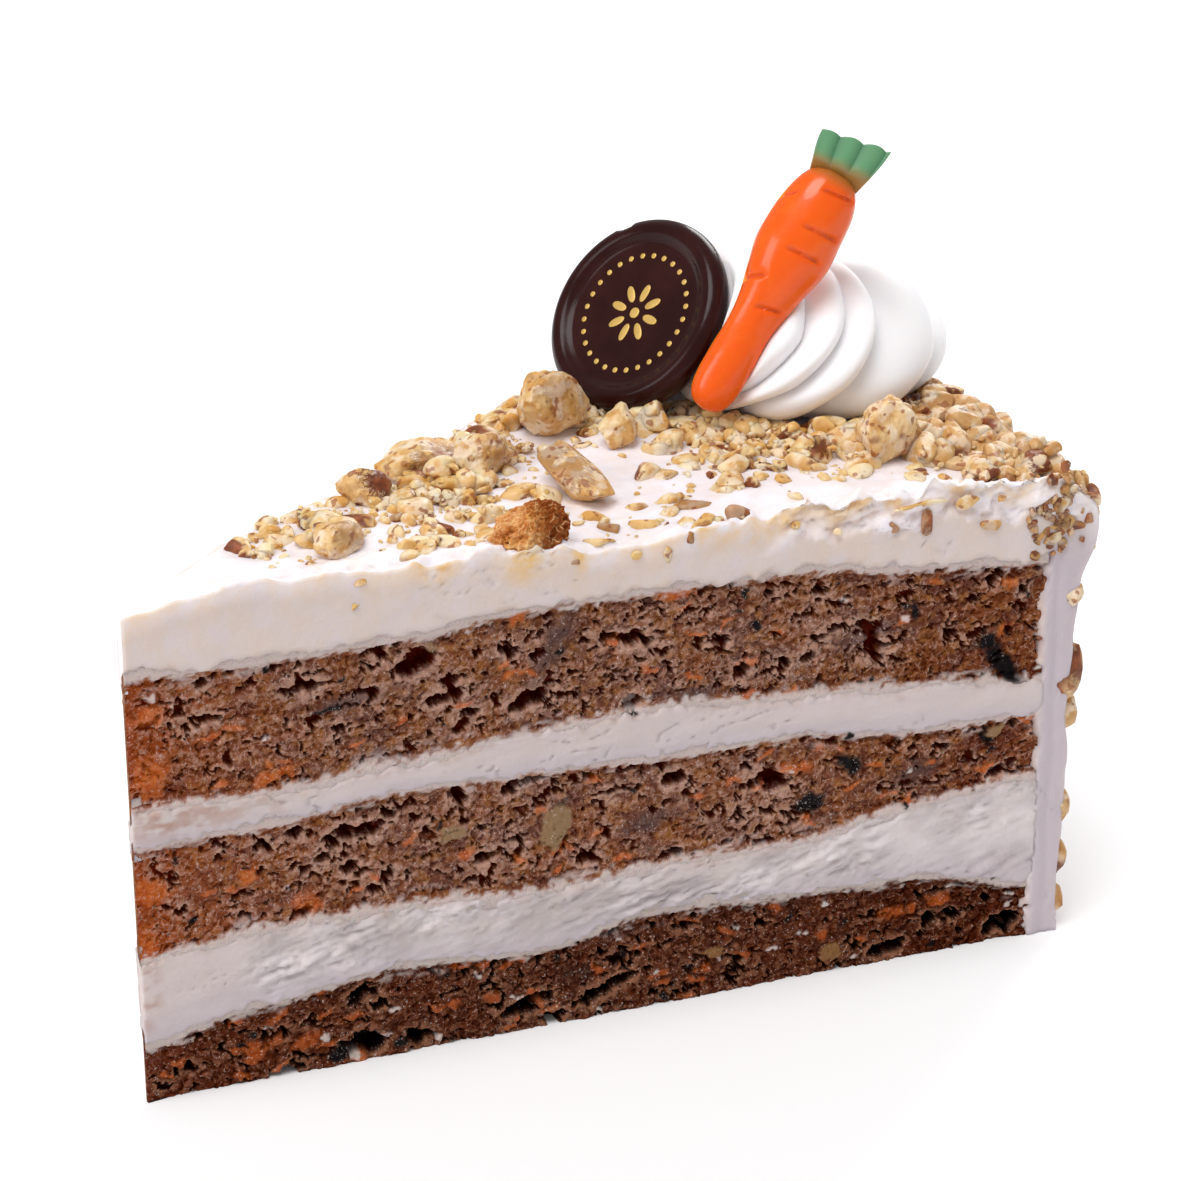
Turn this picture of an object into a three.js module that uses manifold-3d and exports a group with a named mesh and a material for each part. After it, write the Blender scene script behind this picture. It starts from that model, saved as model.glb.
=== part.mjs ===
// A slice of three-layer carrot cake: sponge and cream layers under a cream frosting with chopped
// walnuts, a piped rosette, a round chocolate disc and a moulded sugar carrot.
// Millimetres, +Z up. The slice's tip points along -X and its outer wall faces +X.
import * as THREE from 'three';
import { mergeVertices } from 'three/addons/utils/BufferGeometryUtils.js';
import ManifoldModule from 'manifold-3d';

const { lerp, clamp, smoothstep, degToRad } = THREE.MathUtils;

// The whole cake and the cut
const CAKE_RADIUS = 130;
const SLICE_ANGLE = 36;
const TIP_RADIUS = 1.5;
const COAT_THICKNESS = 4.3;
const FIT_GAP = 0.3;
const MIDDLE_X = 68.7; // from the cake's centre to the middle of the slice's box

// Heights at which the layers meet on the near cut, every STATION_STEP from the tip to the wall
const STATION_STEP = 18;
const BOARD = [0, 0, 0, 0, 0, 0, 0, 0];
const BOTTOM_SPONGE_TOP = [8.2, 11.6, 13.3, 12.0, 14.6, 13.4, 12.5, 8.4];
const MIDDLE_SPONGE_FOOT = [20.5, 22.2, 21.9, 20.4, 21.3, 20.8, 23.4, 24.8];
const MIDDLE_SPONGE_TOP = [36.9, 37.2, 38.8, 38.2, 37.3, 37.2, 34.8, 34.4];
const TOP_SPONGE_FOOT = [42.0, 41.4, 42.4, 43.6, 44.4, 42.5, 41.4, 39.2];
const TOP_SPONGE_TOP = [60.3, 59.9, 59.9, 61.4, 61.3, 60.8, 58.6, 56.8];
const FROSTING_TOP = [68.1, 70.2, 69.7, 68.5, 67.9, 69.0, 68.0, 67.2];
const FAR_SIDE_CALM = 0.45; // how far the far cut's lines keep to their average
const TIP_SWELL = { height: 2.4, at: 24, reach: 15 };
const RIM_DROP = 1.6;
const RIM_SWELL = { depth: 3.2, at: 61, reach: 6.5 }; // the rim hangs over the wall by this

// Relief of the cut faces
const SPONGE_CRAGS = 1.5;
const CREAM_TEARS = 0.4;

// The rosette: profile as [radius, height], and the angles of the creases between its lobes half
// way up. The lobes turn clockwise on the way down, and the narrow ones overlap at the front.
const ROSETTE_PLACE = new THREE.Vector3(115.5, 7.8, 69.6);
const ROSETTE_PROFILE = [
  [0, 21.8], [1.0, 21.5], [2.6, 20.9], [5.6, 20.1], [9.6, 19.1], [14.2, 17.4], [18.2, 14.5],
  [20.8, 11.0], [21.8, 7.5], [21.4, 4.5], [19.8, 1.8], [17.2, 0], [0, 0],
];
const ROSETTE_CREASES = [-148, -124, -108, -92, -44, 2, 48, 94, 140, 184].map(degToRad);
const LOBE_COLUMNS = 6;
const LOBE_DEPTH = 0.18;
const LOBE_SHOULDER = 0.7; // share of a lobe's width before it drops to the next crease
const ROSETTE_TWIST = degToRad(78);
const TWIST_MIDDLE = 0.45;
const ROSETTE_HEIGHT = ROSETTE_PROFILE[0][1];
const ROSETTE_LEAN = new THREE.Vector2(-3.6, 2.8);

// The chocolate disc: profile as [radius, height] from the back's middle to the front's
const DISC_PROFILE = [
  [0, -2.1], [12.6, -2.1], [13.7, -1.4], [14.0, -0.2], [13.6, 1.2], [12.6, 2.0], [11.4, 1.9],
  [10.4, 1.1], [0, 0.9],
];
const DISC_RADIUS = 14;
const BED_DEPTH = 9;
const DISC_PLACE = new THREE.Vector3(94.4, 16.1, 81.0);
const DISC_FACES = new THREE.Vector3(-0.79, -0.092, 0.607);

// The sugar carrot: half width along its length, from the thin end to the shoulder
const CARROT_PROFILE = [
  [0, 0], [1.7, 0.5], [2.7, 1.8], [3.2, 4], [3.3, 8], [3.2, 12.5], [3.7, 16.5], [4.7, 20.5],
  [5.3, 24], [5.2, 28.5], [4.7, 32], [3.7, 34.5], [2.3, 35.7], [0, 36.1],
];
const CARROT_LOW_END = new THREE.Vector3(92.0, -0.6, 73.1);
const CARROT_HIGH_END = new THREE.Vector3(113.9, -2.9, 103.5);
const CARROT_FACES = new THREE.Vector3(-0.58, -0.74, 0.34);
const CARROT_FRONT = 0.78; // the front is this much of a half round, the moulded back nearly flat
const CARROT_BACK = 0.4;
const CROWN_LENGTH = 8;
const CROWN_FOOT = 5.6;
const CROWN_SPREAD = 8.4;
const CROWN_TEETH = 5;
const CROWN_THICKNESS = 2.6;
const CROWN_SINK = 2.6;

// Big walnut pieces: where each lies, its length, width and height, which way it points, and how
// far that end dips
const WALNUTS = [
  { x: 77.6, y: 14.2, size: [9.9, 8.5, 9.4], turn: 20, tilt: 0 },
  { x: 68.8, y: -3.0, size: [16.4, 6.8, 5.0], turn: -88, tilt: 16 },
  { x: 82.4, y: 5.4, size: [6.6, 5.8, 5.4], turn: 10, tilt: 0 },
  { x: 63.2, y: 9.6, size: [8.6, 7.2, 5.2], turn: 35, tilt: 0 },
  { x: 55.6, y: 13.4, size: [11.0, 7.6, 5.0], turn: -30, tilt: 0 },
  { x: 44.6, y: 9.6, size: [7.2, 6.0, 4.8], turn: -15, tilt: 0 },
  { x: 31.6, y: -2.6, size: [7.6, 5.8, 4.4], turn: 50, tilt: 0 },
  { x: 108.2, y: -19.6, size: [9.9, 8.0, 9.4], turn: -40, tilt: 0 },
];
const SEAT_SHARE = 0.28; // how much of a walnut's lower half is cut flat where it lies

// The dark clump of crumb that the knife left in the frosting at the near cut
const CLUMP = { x: 53.4, y: -13.6, size: [10.6, 6.6, 8.0], turn: -18, rise: 0.6 };

// Chopped walnut that is pressed into the frosting
const BITS_ON_TOP = 70;
const BITS_BY_ROSETTE = 16;
const BITS_ON_RIM = 30;
const BITS_ON_WALL = 22;
const BIT_SIZE = { least: 1.1, most: 2.8 };
const BIG_BIT_SIZE = { least: 1.8, most: 3.0 };

const HALF_ANGLE = degToRad(SLICE_ANGLE / 2);
const CAKE_INSIDE = CAKE_RADIUS - COAT_THICKNESS;

const wasm = await ManifoldModule();
wasm.setup();

function seededRandom(seed) {
  let state = seed;
  return () => {
    state = (state * 1664525 + 1013904223) % 4294967296;
    return state / 4294967296;
  };
}

// A geometry with shared vertices and no collapsed triangles, ready to be joined or cut.
function merged(geometry) {
  const bare = geometry.clone();
  bare.deleteAttribute('normal');
  bare.deleteAttribute('uv');
  const shared = mergeVertices(bare, 1e-3);
  const kept = [];
  const index = shared.index.array;
  for (let i = 0; i < index.length; i += 3) {
    const [a, b, c] = [index[i], index[i + 1], index[i + 2]];
    if (a !== b && b !== c && c !== a) kept.push(a, b, c);
  }
  shared.setIndex(kept);
  return shared;
}

function toSolid(geometry) {
  const shared = merged(geometry);
  return new wasm.Manifold(new wasm.Mesh({
    numProp: 3,
    vertProperties: new Float32Array(shared.attributes.position.array),
    triVerts: new Uint32Array(shared.index.array),
  }));
}

function toGeometry(solid) {
  const { vertProperties, triVerts } = solid.getMesh();
  const geometry = new THREE.BufferGeometry();
  geometry.setAttribute('position', new THREE.BufferAttribute(vertProperties, 3));
  geometry.setIndex(new THREE.BufferAttribute(triVerts, 1));
  geometry.computeVertexNormals();
  return geometry;
}

// Moves every vertex of a geometry to where the function sends it.
function reshape(geometry, move) {
  const position = geometry.attributes.position;
  const point = new THREE.Vector3();
  for (let i = 0; i < position.count; i += 1) {
    point.fromBufferAttribute(position, i);
    move(point);
    position.setXYZ(i, point.x, point.y, point.z);
  }
  return geometry;
}

// Height of a meeting line at a radius, eased between its stations.
function alongCut(stations, radius) {
  const place = clamp(radius / STATION_STEP, 0, stations.length - 1.001);
  const station = Math.floor(place);
  const ease = smoothstep(place - station, 0, 1);
  return lerp(stations[station], stations[station + 1], ease);
}

// Height of a layer's face: side is -1 on the near cut and 1 on the far cut, whose line is the
// near one a step further in, drawn towards its average.
function layerHeight(stations, radius, side) {
  const near = alongCut(stations, radius);
  const average = stations.reduce((sum, height) => sum + height, 0) / stations.length;
  const shifted = alongCut(stations, CAKE_RADIUS - radius);
  const far = lerp(average, shifted, FAR_SIDE_CALM);
  return lerp(near, far, (side + 1) / 2);
}

function frostingHeight(radius, side) {
  const swell = TIP_SWELL.height * Math.exp(-(((radius - TIP_SWELL.at) / TIP_SWELL.reach) ** 2));
  const rim = RIM_DROP * smoothstep(radius, CAKE_RADIUS - 5, CAKE_RADIUS);
  return layerHeight(FROSTING_TOP, radius, side) + swell * (0.4 + 0.35 * side) - rim;
}

// How far the frosting's outer face stands out at a height, round and under the rim.
function rimSwell(z) {
  return RIM_SWELL.depth * Math.exp(-(((z - RIM_SWELL.at) / RIM_SWELL.reach) ** 2));
}

function frostingHeightAt(x, y) {
  const side = clamp(Math.atan2(y, x) / HALF_ANGLE, -1, 1);
  return frostingHeight(Math.hypot(x, y), side);
}

// A repeatable roughness between 0 and 1 for a place on a cut face.
function roughAt(along, up, side) {
  const wave = Math.sin(along * 12.9898 + up * 78.233 + side * 37.719) * 43758.5453;
  return wave - Math.floor(wave);
}

// Splits the underside's squares along the same diagonals as the top's, so that the faces of two
// layers that meet are alike.
function matchUnderside(box) {
  const underside = box.groups[5];
  const index = box.index;
  for (let i = underside.start; i < underside.start + underside.count; i += 6) {
    const [a, b, d, c] = [0, 1, 2, 4].map((step) => index.getX(i + step));
    [a, b, c, a, c, d].forEach((corner, step) => index.setX(i + step, corner));
  }
}

// A wedge of a round layer, from a box whose length runs from tip to wall and whose width runs
// from the near cut to the far cut. The cut faces are bitten inwards by up to the crags' depth.
function wedge({ inner, outer, foot, top, cells, crags }) {
  const box = new THREE.BoxGeometry(1, 2, 1, ...cells);
  matchUnderside(box);
  return reshape(box, (point) => {
    const along = point.x + 0.5;
    const side = point.y;
    const up = point.z + 0.5;
    const radius = lerp(inner, outer, along);
    const angle = side * HALF_ANGLE;
    const onCut = Math.abs(side) > 0.999 ? 1 : 0;
    const room = Math.min(crags, radius * 0.12);
    const bite = onCut * room * roughAt(along, up, side);
    point.set(
      radius * Math.cos(angle) + bite * Math.sin(HALF_ANGLE),
      radius * Math.sin(angle) - bite * side * Math.cos(HALF_ANGLE),
      lerp(foot(radius, side), top(radius, side), up),
    );
  });
}

function layer(footLine, topLine, rows, crags) {
  const footGap = footLine === BOARD ? 0 : FIT_GAP / 2;
  return wedge({
    inner: TIP_RADIUS,
    outer: CAKE_INSIDE - FIT_GAP,
    foot: (radius, side) => layerHeight(footLine, radius, side) + footGap,
    top: (radius, side) => layerHeight(topLine, radius, side) - FIT_GAP / 2,
    cells: [20, 4, rows],
    crags,
  });
}

// The frosting's slab over the layers and its coat down the outer wall are one spread of cream.
function frostingBody() {
  const underside = (radius, side) => layerHeight(TOP_SPONGE_TOP, radius, side) + FIT_GAP / 2;
  const slab = wedge({
    inner: TIP_RADIUS,
    outer: CAKE_RADIUS,
    foot: underside,
    top: frostingHeight,
    cells: [22, 6, 2],
    crags: CREAM_TEARS,
  });
  const coat = wedge({
    inner: CAKE_INSIDE,
    outer: CAKE_RADIUS,
    foot: () => 0,
    top: (radius, side) => underside(radius, side) + 3,
    cells: [1, 12, 6],
    crags: CREAM_TEARS,
  });
  [slab, coat].forEach((box) => reshape(box, (point) => {
    const radius = Math.hypot(point.x, point.y);
    const share = Math.max(radius - CAKE_INSIDE, 0) / COAT_THICKNESS;
    const swollen = radius + share * rimSwell(point.z);
    point.x *= swollen / radius;
    point.y *= swollen / radius;
  }));
  return toSolid(slab).add(toSolid(coat));
}

// An uneven nut piece: a faceted ball whose corners are pulled in by chance, then stretched.
function nutShape(size, detail, random) {
  const ball = merged(new THREE.IcosahedronGeometry(1, detail));
  return reshape(ball, (point) => {
    point.multiplyScalar(0.78 + 0.3 * random());
    point.multiply(size);
  });
}

function chunk({ x, y, size, turn, tilt = 0 }, random) {
  const half = new THREE.Vector3(...size).multiplyScalar(0.5);
  const nut = nutShape(half, 1, random).rotateY(degToRad(tilt)).rotateZ(degToRad(turn));
  return nut.translate(x, y, 0);
}

function walnutPiece(walnut, random) {
  const nut = chunk(walnut, random);
  let seat = 0;
  let lowest = 0;
  reshape(nut, (point) => {
    seat = Math.max(seat, frostingHeightAt(point.x, point.y));
    lowest = Math.min(lowest, point.z);
  });
  seat += FIT_GAP;
  return reshape(nut, (point) => {
    point.z = Math.max(seat, seat + point.z - lowest * (1 - SEAT_SHARE));
  });
}

function crumbClump(random) {
  const clump = chunk(CLUMP, random);
  return toSolid(clump.translate(0, 0, frostingHeightAt(CLUMP.x, CLUMP.y) + CLUMP.rise));
}

function isClearOnTop(x, y, reach) {
  const clearOf = (cx, cy, radius) => Math.hypot(x - cx, y - cy) > radius + reach;
  const discFoot = [DISC_PLACE.x + 4, DISC_PLACE.y + 1];
  return clearOf(ROSETTE_PLACE.x, ROSETTE_PLACE.y, 19.5)
    && clearOf(...discFoot, 14.5)
    && clearOf(CARROT_LOW_END.x + 2, CARROT_LOW_END.y, 6)
    && [...WALNUTS, CLUMP].every((nut) => clearOf(nut.x, nut.y, nut.size[0] / 2 + 0.8));
}

function bit(x, y, z, radius, random) {
  const flat = new THREE.Vector3(radius, radius * (0.7 + 0.3 * random()), radius * 0.75);
  const nut = nutShape(flat, 0, random);
  nut.rotateX((random() - 0.5) * 0.9);
  nut.rotateZ(random() * Math.PI);
  nut.translate(x, y, z);
  return toSolid(nut);
}

// A bit of nut at a radius and side of the slice's top, where nothing else lies.
function bitOnTop(radius, side, sizes, random) {
  const x = radius * Math.cos(side * HALF_ANGLE);
  const y = radius * Math.sin(side * HALF_ANGLE);
  const size = lerp(sizes.least, sizes.most, random() ** 1.5);
  const isFree = isClearOnTop(x, y, size) && radius < CAKE_RADIUS + 1 && Math.abs(side) < 0.96;
  return isFree ? [bit(x, y, frostingHeight(radius, side) + size * 0.25, size, random)] : [];
}

function bitsOnTop(random) {
  const bits = [];
  while (bits.length < BITS_ON_TOP) {
    const radius = CAKE_RADIUS * Math.sqrt(lerp(0.03, 0.9, random()));
    bits.push(...bitOnTop(radius, lerp(-0.9, 0.93, random()), BIT_SIZE, random));
  }
  while (bits.length < BITS_ON_TOP + BITS_BY_ROSETTE) {
    const turn = random() * Math.PI * 2;
    const x = ROSETTE_PLACE.x + lerp(21, 25, random()) * Math.cos(turn);
    const y = ROSETTE_PLACE.y + lerp(21, 25, random()) * Math.sin(turn);
    const side = Math.atan2(y, x) / HALF_ANGLE;
    bits.push(...bitOnTop(Math.hypot(x, y), side, BIT_SIZE, random));
  }
  for (let i = 0; bits.length < BITS_ON_TOP + BITS_BY_ROSETTE + BITS_ON_RIM; i += 1) {
    const side = lerp(-0.95, 0.95, (i * 0.618) % 1);
    const radius = CAKE_RADIUS - lerp(-1, 6, random());
    bits.push(...bitOnTop(radius, side, BIG_BIT_SIZE, random));
  }
  return bits;
}

function bitsOnWall(random) {
  const bits = [];
  for (let i = 0; i < BITS_ON_WALL; i += 1) {
    const angle = lerp(-0.95, 0.95, (i * 0.618) % 1) * HALF_ANGLE;
    const height = lerp(5, 62, (i + random()) / BITS_ON_WALL);
    const radius = CAKE_RADIUS + rimSwell(height) - 0.2;
    const size = lerp(BIT_SIZE.least, BIT_SIZE.most, random());
    bits.push(bit(radius * Math.cos(angle), radius * Math.sin(angle), height, size, random));
  }
  return bits;
}

// The outer skin of the largest body, without sealed hollows and loose scraps.
function outerBody(solid) {
  return solid.decompose().reduce((best, part) => (part.volume() > best.volume() ? part : best));
}

function frosting() {
  const random = seededRandom(7);
  const bits = [...bitsOnTop(random), ...bitsOnWall(random), crumbClump(random)];
  const joined = bits.reduce((body, piece) => body.add(piece), frostingBody());
  return toGeometry(outerBody(joined));
}

// A turned profile, its axis along +Z.
function turned(profile, segments) {
  const points = profile.map(([radius, height]) => new THREE.Vector2(radius, height));
  return new THREE.LatheGeometry(points, segments).rotateX(Math.PI / 2);
}

// How far a lobe stands out at a share of its width: it rises to a fat shoulder, then drops.
function lobeSwell(share) {
  const rise = Math.sin((Math.min(share / LOBE_SHOULDER, 1) * Math.PI) / 2) ** 0.8;
  const past = Math.max((share - LOBE_SHOULDER) / (1 - LOBE_SHOULDER), 0);
  return Math.min(rise, Math.sqrt(Math.max(1 - past * past, 0)));
}

function rosetteBody() {
  const rising = [...ROSETTE_PROFILE].reverse();
  const lobes = ROSETTE_CREASES.length;
  return reshape(turned(rising, lobes * LOBE_COLUMNS), (point) => {
    const down = clamp(1 - point.z / ROSETTE_HEIGHT, 0, 1);
    const radius = Math.hypot(point.x, point.y);
    const round = Math.atan2(point.y, point.x) / (Math.PI * 2);
    const place = Math.round((round - Math.floor(round)) * lobes * LOBE_COLUMNS) / LOBE_COLUMNS;
    const lobe = Math.floor(place) % lobes;
    const start = ROSETTE_CREASES[lobe];
    const end = ROSETTE_CREASES[lobe + 1] ?? ROSETTE_CREASES[0] + Math.PI * 2;
    const share = place - Math.floor(place);
    const depth = LOBE_DEPTH * smoothstep(down, 0.08, 0.26);
    const swollen = radius * (1 - depth * (1 - lobeSwell(share)));
    const turn = lerp(start, end, share) - ROSETTE_TWIST * (down - TWIST_MIDDLE);
    point.x = swollen * Math.cos(turn) + ROSETTE_LEAN.x * (1 - down);
    point.y = swollen * Math.sin(turn) + ROSETTE_LEAN.y * (1 - down);
  });
}

function turnTo(direction) {
  return new THREE.Quaternion().setFromUnitVectors(
    new THREE.Vector3(0, 0, 1),
    direction.clone().normalize(),
  );
}

function carrotAxes() {
  const along = CARROT_HIGH_END.clone().sub(CARROT_LOW_END).normalize();
  const front = CARROT_FACES.clone().addScaledVector(along, -CARROT_FACES.dot(along)).normalize();
  const across = new THREE.Vector3().crossVectors(front, along);
  return new THREE.Quaternion().setFromRotationMatrix(
    new THREE.Matrix4().makeBasis(across, front, along),
  );
}

// The crown's outline: a narrow foot that opens into a fan with a toothed top.
function crownOutline() {
  const fan = new THREE.Shape();
  fan.moveTo(-CROWN_FOOT / 2, 0);
  fan.lineTo(CROWN_FOOT / 2, 0);
  for (let tooth = 0; tooth < CROWN_TEETH; tooth += 1) {
    const middle = 0.5 - (tooth + 0.5) / CROWN_TEETH;
    const right = 0.5 - tooth / CROWN_TEETH;
    fan.lineTo(CROWN_SPREAD * right, CROWN_LENGTH * 0.86);
    fan.lineTo(CROWN_SPREAD * middle, CROWN_LENGTH);
  }
  fan.lineTo(-CROWN_SPREAD / 2, CROWN_LENGTH * 0.86);
  fan.closePath();
  return fan;
}

// The root lies on its flat moulded back, which is the -Y side.
function carrotRoot(profile, front, back) {
  return toSolid(reshape(turned(profile, 18), (point) => {
    point.y *= point.y > 0 ? front : back;
  }));
}

function carrotBody() {
  const crown = new THREE.ExtrudeGeometry(crownOutline(), {
    depth: CROWN_THICKNESS,
    bevelEnabled: false,
  });
  crown.rotateX(Math.PI / 2);
  crown.translate(0, CROWN_THICKNESS * 0.7, CARROT_PROFILE.at(-1)[1] - CROWN_SINK);
  return carrotRoot(CARROT_PROFILE, CARROT_FRONT, CARROT_BACK).add(toSolid(crown));
}

function placed(solid, place, quaternion) {
  const matrix = new THREE.Matrix4().compose(place, quaternion, new THREE.Vector3(1, 1, 1));
  return solid.transform(matrix.elements);
}

// The piped cream, pressed away where the disc and the carrot lean on it. Each bed is open to
// the front, and wider than what lies in it by the fit's gap.
function rosette() {
  const discBed = [
    [0, -2.1 - FIT_GAP], [13.0, -2.1 - FIT_GAP], [DISC_RADIUS + FIT_GAP, -1.2],
    [DISC_RADIUS + FIT_GAP, BED_DEPTH], [0, BED_DEPTH],
  ];
  const carrotBed = CARROT_PROFILE.map(([width, along], i, all) => {
    const past = i === 0 || i === all.length - 1;
    return [past ? 0 : width + 1.4 * FIT_GAP, along + FIT_GAP * Math.sign(along - 10)];
  });
  const pressed = toSolid(rosetteBody()).translate(ROSETTE_PLACE.toArray())
    .subtract(placed(toSolid(turned(discBed, 40)), DISC_PLACE, turnTo(DISC_FACES)))
    .subtract(placed(carrotRoot(carrotBed, 2.5, 0.55), CARROT_LOW_END, carrotAxes()));
  return toGeometry(outerBody(pressed));
}

const SPONGE = new THREE.MeshStandardMaterial({ color: 0x9a7452, roughness: 0.95 });
const DARK_SPONGE = new THREE.MeshStandardMaterial({ color: 0x5c3620, roughness: 0.95 });
const CREAM = new THREE.MeshStandardMaterial({ color: 0xe9e2d8, roughness: 0.6 });
const WHIPPED_CREAM = new THREE.MeshStandardMaterial({ color: 0xf7f4f2, roughness: 0.5 });
const CHOCOLATE = new THREE.MeshStandardMaterial({ color: 0x2a1a1a, roughness: 0.3 });
const SUGAR = new THREE.MeshStandardMaterial({ color: 0xf0600c, roughness: 0.35 });
const WALNUT = new THREE.MeshStandardMaterial({ color: 0xd9b878, roughness: 0.7 });

const slice = new THREE.Group();
slice.position.set(-MIDDLE_X, 0, 0);

function addPiece(name, geometry, material) {
  const mesh = new THREE.Mesh(geometry, material);
  mesh.name = name;
  slice.add(mesh);
  return mesh;
}

addPiece('sponge_bottom', layer(BOARD, BOTTOM_SPONGE_TOP, 3, SPONGE_CRAGS), DARK_SPONGE);
addPiece('cream_lower', layer(BOTTOM_SPONGE_TOP, MIDDLE_SPONGE_FOOT, 2, CREAM_TEARS), CREAM);
addPiece('sponge_middle', layer(MIDDLE_SPONGE_FOOT, MIDDLE_SPONGE_TOP, 4, SPONGE_CRAGS), SPONGE);
addPiece('cream_upper', layer(MIDDLE_SPONGE_TOP, TOP_SPONGE_FOOT, 2, CREAM_TEARS), CREAM);
addPiece('sponge_top', layer(TOP_SPONGE_FOOT, TOP_SPONGE_TOP, 4, SPONGE_CRAGS), SPONGE);
addPiece('frosting', frosting(), WHIPPED_CREAM);

const walnutRandom = seededRandom(21);
WALNUTS.forEach((walnut, number) => {
  addPiece(`walnut_${number + 1}`, walnutPiece(walnut, walnutRandom), WALNUT);
});

const disc = addPiece('chocolate_disc', turned(DISC_PROFILE, 40), CHOCOLATE);
disc.position.copy(DISC_PLACE);
disc.quaternion.copy(turnTo(DISC_FACES));

const carrot = addPiece('sugar_carrot', toGeometry(carrotBody()), SUGAR);
carrot.position.copy(CARROT_LOW_END);
carrot.quaternion.copy(carrotAxes());

addPiece('rosette', rosette(), WHIPPED_CREAM);

export default slice;
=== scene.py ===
import itertools
import math

import bpy
import numpy as np
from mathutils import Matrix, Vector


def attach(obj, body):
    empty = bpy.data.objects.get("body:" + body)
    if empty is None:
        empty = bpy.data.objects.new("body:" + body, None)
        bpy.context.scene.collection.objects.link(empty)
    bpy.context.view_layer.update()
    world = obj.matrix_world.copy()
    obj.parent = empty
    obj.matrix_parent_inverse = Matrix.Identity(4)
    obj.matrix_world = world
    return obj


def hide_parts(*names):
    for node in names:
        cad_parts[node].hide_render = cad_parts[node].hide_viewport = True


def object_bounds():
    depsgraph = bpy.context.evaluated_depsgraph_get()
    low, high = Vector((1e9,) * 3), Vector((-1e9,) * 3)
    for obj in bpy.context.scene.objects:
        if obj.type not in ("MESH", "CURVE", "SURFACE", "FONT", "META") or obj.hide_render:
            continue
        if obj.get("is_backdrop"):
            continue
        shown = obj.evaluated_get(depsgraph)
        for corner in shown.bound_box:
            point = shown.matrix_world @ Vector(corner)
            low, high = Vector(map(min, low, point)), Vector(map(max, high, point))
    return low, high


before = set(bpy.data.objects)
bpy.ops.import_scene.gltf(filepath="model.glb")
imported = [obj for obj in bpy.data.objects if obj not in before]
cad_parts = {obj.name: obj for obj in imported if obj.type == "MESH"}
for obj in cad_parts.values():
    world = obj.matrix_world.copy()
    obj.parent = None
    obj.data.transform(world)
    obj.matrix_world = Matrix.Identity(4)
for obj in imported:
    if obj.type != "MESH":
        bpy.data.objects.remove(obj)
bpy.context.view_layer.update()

# ---- Stage -------------------------------------------------------------------------------------
# A plain white table top in a white room, lit by one broad light and two soft boxes, with the
# camera above the near cut. Nothing here belongs to the slice.

CAMERA_PLACE = (-0.26610, -0.34407, 0.25167)
CAMERA_TILT = math.radians(65.438)
CAMERA_TURN = math.radians(-38.212)
LENS = 110.356
FLOOR_HALF = 3.0
SKY_LIGHT = 0.42
SKY_COLOUR = (1.0, 0.99, 1.0, 1)
TABLE_COLOUR = (0.93, 0.93, 0.935, 1)
KEY_LIGHT = {"from": (-0.34, -0.11, 0.9), "power": 2.0, "width": math.radians(36)}
LEFT_BOX = {"place": (-0.75, 0.10, 0.45), "size": 0.35, "power": 1.6}
RIGHT_BOX = {"place": (0.62, 0.36, 0.42), "size": 0.35, "power": 2.7}

camera = bpy.data.objects.new("camera", bpy.data.cameras.new("camera"))
camera.location = CAMERA_PLACE
camera.rotation_euler = (CAMERA_TILT, 0, CAMERA_TURN)
camera.data.lens = LENS
camera.data.sensor_width = 36
bpy.context.scene.collection.objects.link(camera)
bpy.context.scene.camera = camera
bpy.context.scene.view_settings.view_transform = "Standard"

world = bpy.data.worlds.new("white_room")
world.use_nodes = True
sky = world.node_tree.nodes["Background"]
sky.inputs["Color"].default_value = SKY_COLOUR
sky.inputs["Strength"].default_value = SKY_LIGHT
bpy.context.scene.world = world

key = bpy.data.lights.new("key_light", "SUN")
key.energy = KEY_LIGHT["power"]
key.angle = KEY_LIGHT["width"]
lamps = [(key, KEY_LIGHT["from"])]
for name, box in (("left_box", LEFT_BOX), ("right_box", RIGHT_BOX)):
    lamp = bpy.data.lights.new(name, "AREA")
    lamp.size = box["size"]
    lamp.energy = box["power"]
    lamps.append((lamp, box["place"]))
for lamp, place in lamps:
    holder = bpy.data.objects.new(lamp.name, lamp)
    holder.location = place
    holder.rotation_euler = (-holder.location).to_track_quat("-Z", "Y").to_euler()
    bpy.context.scene.collection.objects.link(holder)


def feed(tree, socket, value):
    """Links an output to a socket, or sets the socket's own value."""
    if isinstance(value, bpy.types.NodeSocket):
        tree.links.new(value, socket)
    else:
        socket.default_value = value


def place_node(tree, kind, settings=None, **sockets):
    """Adds a shader node. Settings are its own properties; sockets are its inputs, each given as
    a value or as the output that feeds it."""
    node = tree.nodes.new("ShaderNode" + kind)
    for name, value in (settings or {}).items():
        setattr(node, name, value)
    for name, value in sockets.items():
        feed(tree, node.inputs[name.replace("_", " ")], value)
    return node


def new_material(name, **constants):
    """A material with one Principled shader whose plain values are set on its own sockets."""
    material = bpy.data.materials.new(name)
    material.use_nodes = True
    shader = material.node_tree.nodes["Principled BSDF"]
    for socket, value in constants.items():
        shader.inputs[socket.replace("_", " ")].default_value = value
    return material, material.node_tree, shader


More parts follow.
